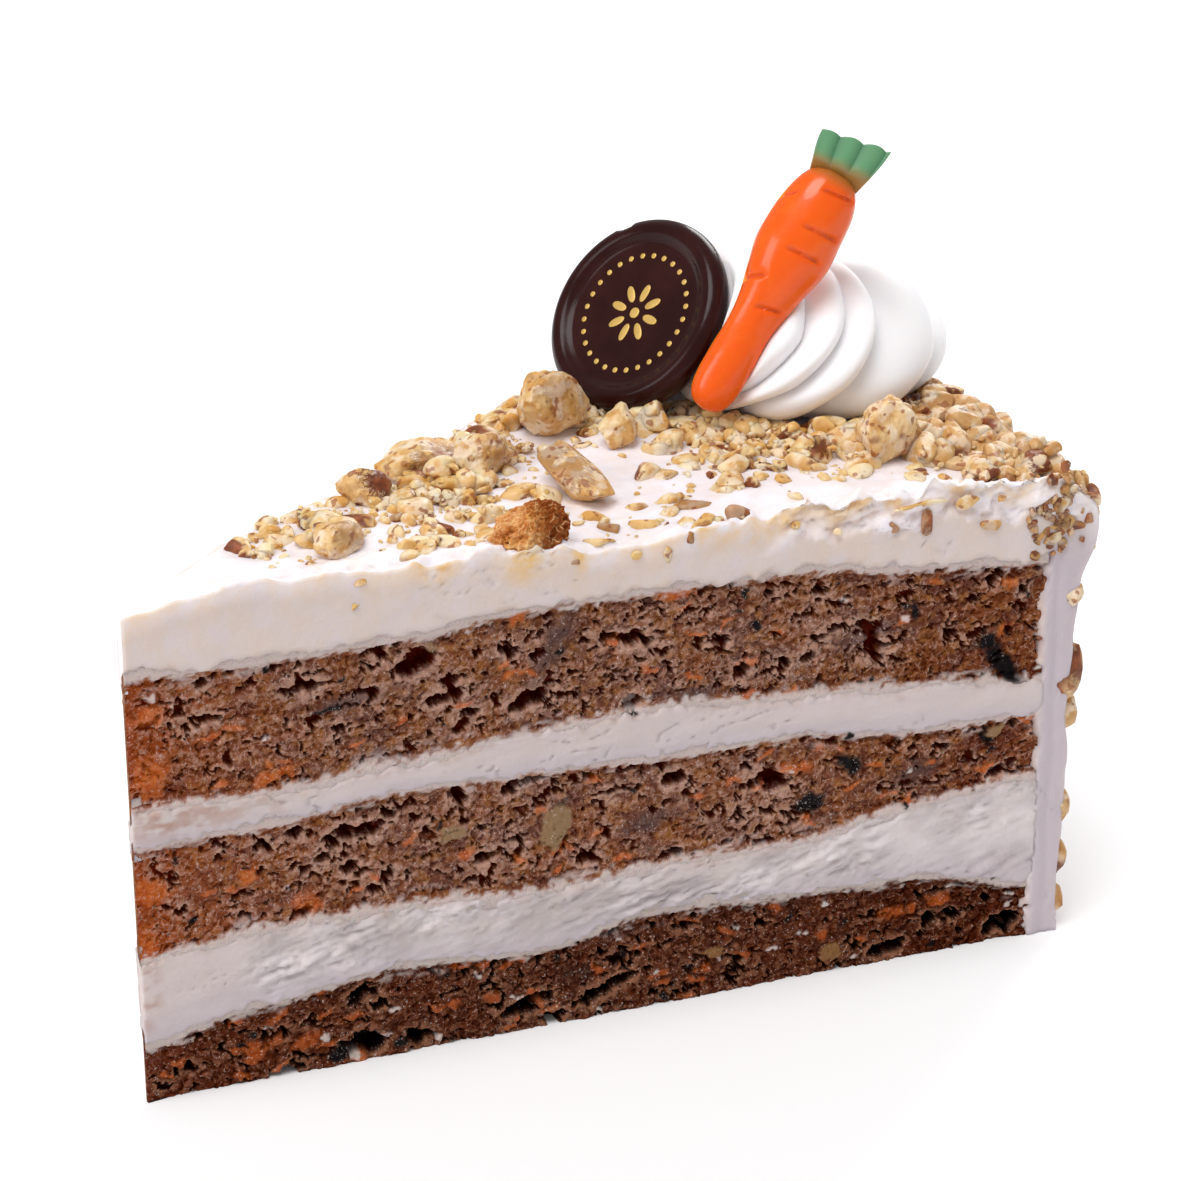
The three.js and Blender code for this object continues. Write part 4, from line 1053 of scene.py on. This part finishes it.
def scatter_on_top(count, edge, draw, heap):
    """Places on the slice's top drawn in proportion to the nut share: of every three drawn the
    one where the heap is lowest is kept, so that pieces fill the gaps between larger ones."""
    count = 3 * count
    found = np.empty((0, 2))
    while len(found) < count:
        r = (CAKE_RADIUS + 0.6) * np.sqrt(draw.uniform(0.01, 1.0, 4 * count))
        angle = draw.uniform(-1, 1, 4 * count) * HALF_ANGLE
        x, y = r * np.cos(angle), r * np.sin(angle)
        inside = np.abs(angle) < HALF_ANGLE - edge / r
        kept = inside & (draw.uniform(0, 1, 4 * count) < nut_share(x, y))
        found = np.vstack([found, np.column_stack([x, y])[kept]])
    found = found[:count]
    piled = (heap - frosting_top(map_x, map_y))[
        (found[:, 0] / MAP_STEP).astype(int), ((found[:, 1] + MAP_HALF) / MAP_STEP).astype(int)]
    lowest = piled.reshape(-1, 3).argmin(axis=1)
    return found.reshape(-1, 3, 2)[np.arange(count // 3), lowest]


def lay_down(places, halves, heap):
    """Heights for chunks laid down one after another, the largest first. Each sinks into the
    average height under it and then raises the height map there to its own dome."""
    heights = np.empty(len(places))
    for index in np.argsort(-halves[:, 0]):
        (x, y), (reach, _, rise) = places[index], halves[index]
        row, column = int(x / MAP_STEP), int((y + MAP_HALF) / MAP_STEP)
        window = int(reach / MAP_STEP) + 1
        block = np.s_[max(row - window, 0):row + window + 1,
                      max(column - window, 0):column + window + 1]
        near = np.hypot(map_x[block] - x, map_y[block] - y) / reach
        under = heap[block][near <= max(0.8, near.min())].mean()
        heights[index] = under - SUNK * rise
        dome = heights[index] + 0.8 * rise * np.sqrt(np.maximum(1 - near**2, 0))
        heap[block] = np.where(near < 1, np.maximum(heap[block], dome), heap[block])
    return heights


def random_halves(sizes, width, height, draw):
    """Half sizes of chunks: their own along, and random parts of that across and up."""
    count = len(sizes)
    return sizes[:, None] * np.column_stack([
        np.ones(count), draw.uniform(*width, count), draw.uniform(*height, count)])


def random_turns(count, draw):
    """No roll, a slight tip and any turn."""
    return np.zeros(count), draw.normal(0, 0.4, count), draw.uniform(0, 2 * np.pi, count)


def joined_chunks(name, chunks, centres, halves, turns, tone, skinned):
    """Stretches each chunk to its half sizes, turns it (roll in its own plane, tip about its
    length, turn about the upright), places it and joins all in one mesh. A chunk whose skin is
    above 1 has it all over."""
    shapes, squares, skin = chunks
    count, points = skin.shape
    body = shapes * halves[:, None, :]
    for angles, (first, second) in zip(turns, ((0, 1), (1, 2), (0, 1))):
        body = turned(body, angles[:, None], first, second)
    body = body + centres[:, None, :]
    faces = (squares[None] + points * np.arange(count)[:, None, None]).reshape(-1, 4)
    # Painted shade, amber-brown, on chunks towards the rim.
    nut_shade = 0.8 * ease(106, 124, np.hypot(centres[:, 0], centres[:, 1]))
    covered = np.clip(skin * skinned[:, None] + np.maximum(skinned - 1, 0)[:, None], 0, 1)
    marks = {"skin": covered.ravel(), "tone": np.repeat(tone, points),
             "nut_shade": np.repeat(nut_shade, points)}
    piece = make_piece(name, body.reshape(-1, 3), faces, walnut_flesh, "frosting", marks)
    piece.data.set_sharp_from_angle(angle=NUT_EDGE)


draw = np.random.default_rng(11)
map_x, map_y = np.meshgrid(np.arange(0, CAKE_RADIUS + 6, MAP_STEP),
                           np.arange(-MAP_HALF, MAP_HALF, MAP_STEP), indexing="ij")
heap = frosting_top(map_x, map_y)

x, y, *single_halves, turn, tone, skinned = SINGLE_PIECES.T
places, halves = np.column_stack([x, y]), np.column_stack(single_halves)
skinned = skinned * (1 + 0.6 * (skinned > 0.8))
joined_chunks("walnut_singles_top", nut_chunks(len(x), 9, 10, draw),
              np.column_stack([places, lay_down(places, halves, heap)]), halves,
              (np.zeros(len(x)), draw.normal(0, 0.25, len(x)), np.radians(turn)), tone, skinned)

# Along the rim the largest lie side by side, three or four millimetres high.
sizes = draw.uniform(*RIM["half_length"], RIM["count"])
halves = random_halves(sizes, (0.65, 0.95), (0.6, 0.9), draw)
r, side = draw.uniform(*RIM["r"], RIM["count"]), draw.uniform(*RIM["side"], RIM["count"])
halves = halves * (1 - 0.4 * ease(-0.75, -0.9, side))[:, None]
places = on_slice(r, side, 0 * r)[:, :2]
outside = np.hypot(*(places - ROSETTE_PLACE[:2]).T) > ROSETTE_CLEAR
places, halves, count = places[outside], halves[outside], outside.sum()
turns = random_turns(count, draw)
joined_chunks("walnut_chunks_rim", nut_chunks(count, 9, 9, draw),
              np.column_stack([places, lay_down(places, halves, heap)]), halves, turns,
              draw.uniform(0.3, 1, count), 1.0 * (draw.uniform(0, 1, count) < 0.5))

for name, count, cells, planes, least, most, skinned_share in TOP_KINDS:
    sizes = least + (most - least) * draw.uniform(0, 1, count) ** 1.4
    halves = random_halves(sizes, (0.6, 0.95), (0.5, 0.85), draw)
    places = scatter_on_top(count, most * 0.5, draw, heap)
    halves = halves * (1 + 0.3 * ease(112, 122, np.hypot(*places.T)))[:, None]
    centres = np.column_stack([places, lay_down(places, halves, heap)])
    turns = random_turns(count, draw)
    joined_chunks(name, nut_chunks(count, cells, planes, draw), centres, halves, turns,
                  draw.uniform(0, 1, count), 1.0 * (draw.uniform(0, 1, count) < skinned_share))

# On the wall the pieces lie flat against the coat, thickest just under the rim.
count = WALL["count"]
sizes = WALL["least"] + WALL["more"] * draw.uniform(0, 1, count) ** 1.6
side = np.append(WALL_PIECES[:, 0], draw.uniform(-0.98, 0.98, count))
high, anywhere = draw.uniform(57, 68.5, count), draw.uniform(3, 60, count)
wall_z = np.where(np.arange(count) < WALL["under_rim"], high, anywhere)
wall_z = np.append(WALL_PIECES[:, 1], wall_z)
halves = np.vstack([WALL_PIECES[:, 2:], sizes[:, None] * WALL["halves"]])
count = len(wall_z)
wall_r = CAKE_RADIUS + rim_swell(wall_z) - 3.4 * ease(64, 69, wall_z) ** 2
roll = draw.uniform(0, np.pi, count) * (np.arange(count) >= len(WALL_PIECES))
turns = (roll, np.full(count, np.pi / 2), side * HALF_ANGLE + np.pi / 2)
joined_chunks("walnut_chunks_wall", nut_chunks(count, 4, 9, draw),
              on_slice(wall_r, side, wall_z), halves, turns,
              draw.uniform(0, 1, count), 1.0 * (draw.uniform(0, 1, count) < 0.35))

# Crumbs of nut and skin stick in a rough patch where the cut meets the rim.
count = RIM_CRUMBS["count"]
crumbs = np.column_stack([
    draw.normal(*RIM_CRUMBS["r"], count), draw.normal(*RIM_CRUMBS["z"], count),
    draw.uniform(*RIM_CRUMBS["half"], (count, 2)), draw.uniform(-90, 90, count),
    np.ones(count), draw.uniform(1.2, 1.9, count)])
bit_r, bit_z, half_length, half_height, roll, tone, skinned = np.vstack([CUT_PIECES, crumbs]).T
count = len(bit_r)
skinned = skinned * (1 + 0.7 * (skinned > 0.8) * (skinned < 1.1))
joined_chunks("walnut_bits_cut", nut_chunks(count, 6, 9, draw),
              on_slice(bit_r, -np.ones(count), bit_z, np.full(count, 0.1)),
              np.column_stack([half_length, half_height, np.full(count, CUT_DEPTH)]),
              (np.radians(roll), np.full(count, np.pi / 2), np.full(count, -HALF_ANGLE)),
              tone, skinned)

# A clump of torn crumb lies at the near edge, golden on the side facing the light and dark on the side
# turned away: painted light and shade.
CLUMP = {"x": 53.4, "y": -13.6, "size": (10.2, 6.6, 9.6), "turn": math.radians(-18), "rise": 0.9}
CLUMP_CELLS = (76, 52, 70)
ball, squares = unit_ball(CLUMP_CELLS)
lumps = 0.1 * rough_noise(*(ball * 2.2).T, 901) - 0.13 * np.abs(rough_noise(*(ball * 5.0).T, 902))
lumps = lumps + 0.05 * soft_noise(*(ball * 15.0).T, 903)
body = ball * (rounded_block(ball, 3) * (0.98 + lumps))[:, None] * np.array(CLUMP["size"]) / 2
points = turned(body, CLUMP["turn"], 0, 1)
points[:, 2] *= 0.62 + 0.38 * ease(-0.9, 0.3, ball[:, 0])
seat = frosting_top(CLUMP["x"], CLUMP["y"]) + CLUMP["rise"]
points = points + (CLUMP["x"], CLUMP["y"], seat)
marks = {mark: np.zeros(len(ball)) for mark in CRUMB_MARKS}
# Painted shade on the side turned from the light, through the warm mark; the tone paints highlight on the
# lumps and shade in their dips.
marks["warm"] = ease(-0.45, 0.35, ball[:, 0] + 2 * lumps)
marks["tone"] = np.clip(0.66 + 2.6 * lumps - 0.3 * marks["warm"], 0, 1)
toasted = crumb_material("toasted_crumb", {
    "base": (204, 132, 66), "grey": (184, 106, 48), "tan": (226, 168, 98), "warm": (118, 50, 12),
    "soak": (204, 132, 66), "deep": (112, 48, 12), "crest_highlight": (240, 196, 140), "pore": (84, 30, 8),
    "smear": (98, 48, 20), "shred": (200, 110, 40), "shred_light": (220, 140, 70),
    "nut": (220, 170, 100), "cream": (236, 210, 170), "prune": (60, 24, 10)})
make_piece("crumb_clump", points, squares, toasted, "frosting", marks)

# ---- Rosette -----------------------------------------------------------------------------------
# Whipped cream piped through a star nozzle in one turn: nine ridges, fat and narrow, that sweep
# clockwise down from the peak and roll out over the foot. The disc and the carrot are pressed in.

ROSETTE_PROFILE = [
    (0, 21.8), (1.0, 21.5), (2.6, 20.9), (5.6, 20.1), (9.6, 19.1), (14.2, 17.4), (18.2, 14.5),
    (20.8, 11.0), (21.8, 7.5), (21.4, 4.5), (19.8, 1.8), (17.2, 0)]
ROSETTE_HEIGHT = 21.8
ROSETTE_FOOT = -0.6
ROSETTE_LEAN = (-3.6, 2.8)
# The front creases' angles in degrees, at these parts of the way down: the last of the piping runs
# over the first, so some lobes are narrow. The back creases share the rest of the round.
CREASE_HEIGHTS = [0.15, 0.4, 0.7, 1.0]
FRONT_CREASES = [(-124, -141, -168, -200), (-108, -119, -144, -172), (-82, -101, -128, -165),
                 (-66, -83, -105, -130), (-14, -25, -52, -82)]
EVEN_LOBES = 5
EVENING_ROUNDS = 6
LOBE_COLUMNS = 44
LOBE_SHOULDER = 0.66  # where a lobe is fattest, as a part of the way to the next crease
ROSETTE_RINGS = 160

DISC_PLACE = np.array([94.4, 16.1, 81.0])
DISC_FACES = np.array([-0.79, -0.092, 0.607])
DISC_RADIUS = 14.0
DISC_BACK = -2.1
CARROT_PROFILE = [
    (0.02, 0), (1.7, 0.5), (2.7, 1.8), (3.2, 4), (3.3, 8), (3.2, 12.5), (3.7, 16.5), (4.7, 20.5),
    (5.3, 24), (5.2, 28.5), (4.7, 32), (3.7, 34.5), (2.3, 35.7), (0.02, 36.1)]
CARROT_LOW_END = np.array([92.0, -0.6, 73.1])
CARROT_HIGH_END = np.array([113.9, -2.9, 103.5])
CARROT_FACES = np.array([-0.58, -0.74, 0.34])


def through(points, count):
    """A smooth line through points, evenly spaced in their number: Catmull-Rom pieces."""
    points = np.asarray(points, float)
    place = np.linspace(0, len(points) - 1.0001, count)
    start = np.floor(place).astype(int)
    t = (place - start)[:, None]
    before, after = points[np.maximum(start - 1, 0)], points[start + 1]
    here, later = points[start], points[np.minimum(start + 2, len(points) - 1)]
    return here + 0.5 * t * (after - before + t * (2 * before - 5 * here + 4 * after - later
                                                   + t * (3 * (here - after) + later - before)))


def axes_of(front, along=None):
    """Three square directions as rows: across, front, along. Front is made square to along."""
    front = front / np.linalg.norm(front)
    if along is None:
        along = np.cross(front, (0.0, 1.0, 0.0))
    along = along / np.linalg.norm(along)
    front = front - along * (front @ along)
    front = front / np.linalg.norm(front)
    return np.array([np.cross(front, along), front, along])


def rings_to_faces(rings, columns):
    """Triangles between closed rings of points. The last two points are the poles, and a fan
    closes the first and the last ring to them."""
    ids = np.arange(rings * columns).reshape(rings, columns)
    after = np.roll(ids, -1, axis=1)
    low_left, low_right, high_left, high_right = ids[:-1], after[:-1], ids[1:], after[1:]
    return np.concatenate([
        np.stack([low_left, low_right, high_right], -1).reshape(-1, 3),
        np.stack([low_left, high_right, high_left], -1).reshape(-1, 3),
        np.stack([after[0], ids[0], np.full(columns, ids.size)], -1),
        np.stack([ids[-1], after[-1], np.full(columns, ids.size + 1)], -1)])


def rosette_points():
    """The profile is carried round the axis. Each lobe swells from its left crease to a fat round
    shoulder and drops over it to the next: radius times 1 - depth(1 - swell), where swell is a
    quarter sine up to the shoulder, then a quarter circle. The creases' angles run straight
    between the heights they are given at and are evened out with their neighbours'."""
    profile = through(ROSETTE_PROFILE, ROSETTE_RINGS + 1)[1:]
    radius, height = profile[:, :1], profile[:, 1:]
    down = np.clip(1 - height / ROSETTE_HEIGHT, 0, 1)
    given = np.array([np.interp(down[:, 0], CREASE_HEIGHTS, crease) for crease in FRONT_CREASES])
    share = np.arange(1, EVEN_LOBES + 1)[:, None] / EVEN_LOBES
    start = np.vstack([given, given[-1] + share * (given[0] + 360 - given[-1])]).T
    for _ in range(EVENING_ROUNDS):
        start[1:-1] = (start[:-2] + 2 * start[1:-1] + start[2:]) / 4
    lobe = np.arange((start.shape[1] - 1) * LOBE_COLUMNS)[None] / LOBE_COLUMNS
    before, phase = lobe.astype(int)[0], lobe % 1
    wide = start[:, before + 1] - start[:, before]
    angle = np.radians(start[:, before] + wide * phase)
    past = np.maximum((phase - LOBE_SHOULDER) / (1 - LOBE_SHOULDER), 0)
    rise = np.sin(np.minimum(phase / LOBE_SHOULDER, 1) * np.pi / 2) ** 0.85
    swell = np.minimum(rise, np.maximum(1 - past**2, 0) ** 0.55)
    depth = (0.09 + 0.07 * np.minimum(wide / 46, 1)) * ease(0.12, 0.26, down)
    drift = soft_noise(np.cos(angle) * 2, np.sin(angle) * 2, down * 2.5, 61)
    swollen = radius * (1 - depth * (1 - swell)) * (1 + 0.012 * drift)
    swollen = swollen * (1 + 0.06 * ease(0.5, 0.75, down) * bell(np.degrees(angle), -20, 30))
    x = swollen * np.cos(angle) + ROSETTE_LEAN[0] * (1 - down)
    y = swollen * np.sin(angle) + ROSETTE_LEAN[1] * (1 - down)
    z = height - 1.3 * (1 - swell) * ease(0.1, 0.35, down) * ease(1.0, 0.6, down)
    points = np.stack([x, y, z], -1).reshape(-1, 3)
    points = np.vstack([points, (*ROSETTE_LEAN, ROSETTE_HEIGHT), (0, 0, ROSETTE_FOOT)])
    return points + ROSETTE_PLACE, rings_to_faces(ROSETTE_RINGS, lobe.size)


def press(points, centre, front, within):
    """Pushes points that lie before a bed back onto it, along the front direction; within is 1
    where the bed is, falling to 0 outside."""
    ahead = (points - centre) @ front
    return points - (np.maximum(ahead, 0) * within)[:, None] * front


rosette, rosette_faces = rosette_points()
disc_front = DISC_FACES / np.linalg.norm(DISC_FACES)
from_disc = rosette - DISC_PLACE
off_axis = np.linalg.norm(from_disc - (from_disc @ disc_front)[:, None] * disc_front, axis=1)
rosette = press(rosette, DISC_PLACE + disc_front * (DISC_BACK + 0.2), disc_front,
                ease(DISC_RADIUS + 1.6, DISC_RADIUS - 0.1, off_axis))
carrot_axes = axes_of(CARROT_FACES, CARROT_HIGH_END - CARROT_LOW_END)
from_carrot = (rosette - CARROT_LOW_END) @ carrot_axes.T
half_width = np.interp(from_carrot[:, 2], [at for _, at in CARROT_PROFILE],
                       [half for half, _ in CARROT_PROFILE])
beside = ease(half_width + 0.5, half_width - 0.7, np.abs(from_carrot[:, 0]))
rosette = press(rosette, CARROT_LOW_END - 0.9 * carrot_axes[1], carrot_axes[1],
                beside * ease(-1.5, 0.5, from_carrot[:, 2]))

whipped, tree, shader = new_material(
    "whipped_cream", Roughness=0.42, Specular_IOR_Level=0.35, Subsurface_Weight=0.5,
    Subsurface_Scale=0.004, Subsurface_Radius=(1.0, 0.9, 0.75))
grit = grain(tree, 180.0, 900.0)
colour = mixed(tree, spread(tree, grit[0], 0.35, 0.7), (254, 253, 255), (252, 249, 252))
finish_surface(tree, shader, colour, grit, (0.12, 0.0005))
make_piece("rosette_cream", rosette, rosette_faces, whipped, "rosette")

# ---- Chocolate disc ----------------------------------------------------------------------------
# A cast disc of dark chocolate with a rounded border round a shallow field. It leans against the
# rosette. A plain ring of gold dots round a small flower is printed on the field.

DISC_PROFILE = [
    (0.2, -2.1), (6.0, -2.1), (12.4, -2.1), (13.6, -1.5), (14.0, -0.3), (13.7, 1.0), (12.7, 1.9),
    (11.6, 1.9), (10.6, 1.25), (9.6, 0.95), (6.0, 0.85), (0.2, 0.85)]
DISC_COLUMNS, DISC_RINGS = 192, 88
DISC_CHIP = {"angle": 4.0, "half_angle": 0.1, "deep": 0.35}
FIELD_HEIGHT = 0.85
# The print's dots, petals and heart: how many of each, how far out, half length and half width
PRINT_COUNTS, PRINT_PLACES = (28, 8, 1), (8.4, 3.0, 0.0)
PRINT_LENGTHS, PRINT_WIDTHS = (0.42, 1.35, 0.8), (0.42, 0.62, 0.8)


def disc_placed(points):
    """Carries points from the disc's own axes, its front along the third, to its place."""
    across, front, up = axes_of(DISC_FACES)
    return DISC_PLACE + points[:, :1] * across + points[:, 1:2] * up + points[:, 2:] * front


def turned_profile(profile, columns, rings):
    """A profile carried round: over a grid of rings by columns the angle, and both measures."""
    line = through(profile, rings)
    angle = np.linspace(0, 2 * np.pi, columns, endpoint=False) + np.zeros((rings, 1))
    return angle, line[:, :1] + 0 * angle, line[:, 1:] + 0 * angle


def turned_by(angle, middle):
    """How far an angle lies past another, from minus half a turn to half a turn."""
    return (angle - middle + np.pi) % (2 * np.pi) - np.pi


angle, radius, height = turned_profile(DISC_PROFILE, DISC_COLUMNS, DISC_RINGS)
away = np.abs(turned_by(angle, DISC_CHIP["angle"])) / DISC_CHIP["half_angle"]
chip = DISC_CHIP["deep"] * ease(1.0, 0.6, away + 0.3 * soft_noise(angle * 20, height, 0, 71))
radius = radius - chip * ease(11.8, 13.6, radius)
drift = 1.5 * soft_noise(np.cos(angle), np.sin(angle), radius / 5, 72)
swirl = 0.012 * np.sin(radius * 2.4 + angle * 1.0 + drift)
height = height + swirl * ease(10.5, 9.0, radius) * ease(0.5, 3.0, radius) * (height > 0)
points = np.stack([radius * np.cos(angle), radius * np.sin(angle), height], -1).reshape(-1, 3)
points = np.vstack([points, (0, 0, DISC_BACK), (0, 0, FIELD_HEIGHT)])

chocolate, tree, shader = new_material("dark_chocolate", Specular_IOR_Level=0.17)
grit = grain(tree, 150.0, 1400.0)
colour = mixed(tree, spread(tree, grit[0], 0.4, 0.7), (40, 13, 11), (50, 19, 16))
finish_surface(tree, shader, colour, grit, (0.1, 0.0003), (0.3, 0.7, 0.16, 0.26))
make_piece("chocolate_disc_cast", disc_placed(points), rings_to_faces(DISC_RINGS, DISC_COLUMNS),
           chocolate, "chocolate_disc")

gold, tree, shader = new_material("gold_print", Metallic=0.35, Specular_IOR_Level=0.5)
grit = grain(tree, 500.0, 2500.0)
colour = mixed(tree, grit[0], (196, 152, 66), (226, 192, 112))
finish_surface(tree, shader, colour, grit, rough=(0.3, 0.7, 0.35, 0.5))
ball, squares = unit_ball((4, 4, 4))
turns = np.concatenate([np.arange(count) / count for count in PRINT_COUNTS])[:, None] * 2 * np.pi
out, half_length, half_width = [
    np.repeat(values, PRINT_COUNTS)[:, None] for values in (PRINT_PLACES, PRINT_LENGTHS, PRINT_WIDTHS)]
laid = np.stack([
    out + half_length * ball[:, 0], half_width * ball[:, 1],
    FIELD_HEIGHT + 0.05 + 0.12 * ball[:, 2] + 0 * out], -1)
points = turned(laid, turns, 0, 1).reshape(-1, 3)
faces = (squares[None] + len(ball) * np.arange(len(turns))[:, None, None]).reshape(-1, 4)
make_piece("chocolate_disc_print", disc_placed(points), faces, gold, None)

# ---- Sugar carrot ------------------------------------------------------------------------------
# A small moulded sugar carrot, glossy orange with a flat back and pressed creases, and a ribbed
# green crown. It lies against the rosette, its thin end on the frosting.

CARROT_LENGTH = 36.1
CARROT_FRONT = 0.78
CARROT_BACK = 0.4
CARROT_COLUMNS, CARROT_RINGS = 144, 220
# Creases across the front: place along the root in mm, the angles round it in degrees (0 right,
# 90 front, 180 left as seen with the crown down) between which each runs, and its slope
CREASES = [(15.7, 80, 140, 0.8), (18.4, 5, 66, 1.6), (24.1, 80, 136, 0.4), (27.7, 86, 148, 0.4),
           (30.3, 8, 42, 2.4), (33.2, 84, 150, 0.5)]
CREASE_DEPTH = 0.5
CROWN = {"length": 7.6, "sink": 2.6, "foot": 6.2, "spread": 9.4, "thick": 2.8, "ribs": 3,
         "slant": 0.13}
CROWN_CELLS = (72, 4, 40)


def carrot_placed(points):
    """Carries points from the carrot's own axes (across, front, along) to its place."""
    return CARROT_LOW_END + points @ carrot_axes


angle, width, along = turned_profile(CARROT_PROFILE, CARROT_COLUMNS, CARROT_RINGS)
crease_shade = 0 * width
for crease_at, crease_from, crease_to, slope in CREASES:
    turn = turned_by(angle, math.radians(crease_from + crease_to) / 2)
    facing = ease(1.25, 0.75, np.abs(turn) / (math.radians(crease_to - crease_from) / 2))
    past = along - crease_at - slope * turn
    fold = bell(past, 0, 0.3) + 0.6 * np.exp(-np.maximum(past, 0) / 1.3) * (past > 0)
    width = width - CREASE_DEPTH * facing * fold
    # Painted shade: the crease lines are marked for a deeper orange.
    crease_shade = np.maximum(crease_shade, facing * bell(past, 0, 0.28))
lumps = 0.12 * soft_noise(np.cos(angle) * 2, along / 4, np.sin(angle) * 2, 91)
width = np.maximum(width + lumps * ease(0, 2, along) * ease(CARROT_LENGTH, 34, along), 0.01)
thick = np.where(np.sin(angle) > 0, CARROT_FRONT, CARROT_BACK)
points = np.stack([width * np.cos(angle), thick * width * np.sin(angle), along], -1).reshape(-1, 3)
points = np.vstack([points, (0, 0, 0), (0, 0, CARROT_LENGTH)])
# Painted glow: the thin outline where the front meets the flat back is painted a light yellow-orange, as
# light shining through the sugar.
rim = ease(0.22, 0.02, np.abs(np.sin(angle))) * (along < 34)
# Each mark ends with its values at the two poles.
marks = {"rim": np.append(rim, (1, 0)), "shoulder": np.append(ease(33.4, 35.8, along), (0, 1)),
         "crease_shade": np.append(crease_shade, (0, 0))}

orange_sugar, tree, shader = new_material(
    "orange_sugar", Specular_IOR_Level=0.3, Subsurface_Weight=0.3, Subsurface_Scale=0.0015,
    Subsurface_Radius=(1.0, 0.35, 0.1), Coat_Weight=0.25, Coat_Roughness=0.1)
grit = grain(tree, 300.0, 1800.0)
# Painted shade deepens the orange in the creases.
colour = layered(tree, (236, 84, 0), [
    (grit[0], 1, (244, 102, 4)), ("crease_shade", 0.45, (200, 56, 0)), ("rim", 1, (255, 158, 44)),
    ("shoulder", 0.8, (150, 104, 44))])
finish_surface(tree, shader, colour, grit, (0.08, 0.0003), (0.3, 0.7, 0.2, 0.3))
make_piece("carrot_root", carrot_placed(points), rings_to_faces(CARROT_RINGS, CARROT_COLUMNS),
           orange_sugar, "sugar_carrot", marks)

# The crown is a short fan: it widens from its foot, its front rises in ribs and its top edge is
# notched between them.
places, squares = box_shell(CROWN_CELLS)
fan, depth, up = 2 * places[:, 0] - 1, places[:, 1], places[:, 2]
rib = np.abs(np.cos((fan + 0.12 * up) * np.pi / 2 * CROWN["ribs"])) ** 0.8
width = CROWN["foot"] + (CROWN["spread"] - CROWN["foot"]) * ease(-0.2, 1, up)
height = CROWN["length"] * (0.94 + 0.06 * rib) * (1 + CROWN["slant"] * fan)
along = CARROT_LENGTH - CROWN["sink"] + height * up
front = CROWN["thick"] * 0.5 * (0.9 + 0.3 * rib * ease(0, 0.4, up)) * (1 - 0.3 * up)
front = front * (0.15 + 0.85 * ease(0.1, 0.5, up))
back = -CROWN["thick"] * 0.3 + 0 * up
y = back + (front - back) * depth + 0.6 * ease(0.1, 0.5, up)
points = carrot_placed(np.column_stack([-fan * width / 2, y, along]))

green_sugar, tree, shader = new_material(
    "green_sugar", Specular_IOR_Level=0.5, Subsurface_Weight=0.2, Subsurface_Scale=0.0015,
    Coat_Weight=0.25, Coat_Roughness=0.25)
grit = grain(tree, 400.0, 2200.0)
# Painted highlight: the ribs' fronts are lighter green than the grooves between them.
colour = layered(tree, (66, 122, 82), [("rib", 1, (98, 152, 108)), ("foot", 1, (156, 112, 48))])
finish_surface(tree, shader, colour, grit, (0.1, 0.0003), (0.3, 0.7, 0.3, 0.45))
make_piece("carrot_crown", points, squares, green_sugar, "sugar_carrot",
           {"rib": rib * ease(0, 0.6, depth), "foot": ease(0.62, 0.32, up)})

low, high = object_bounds()
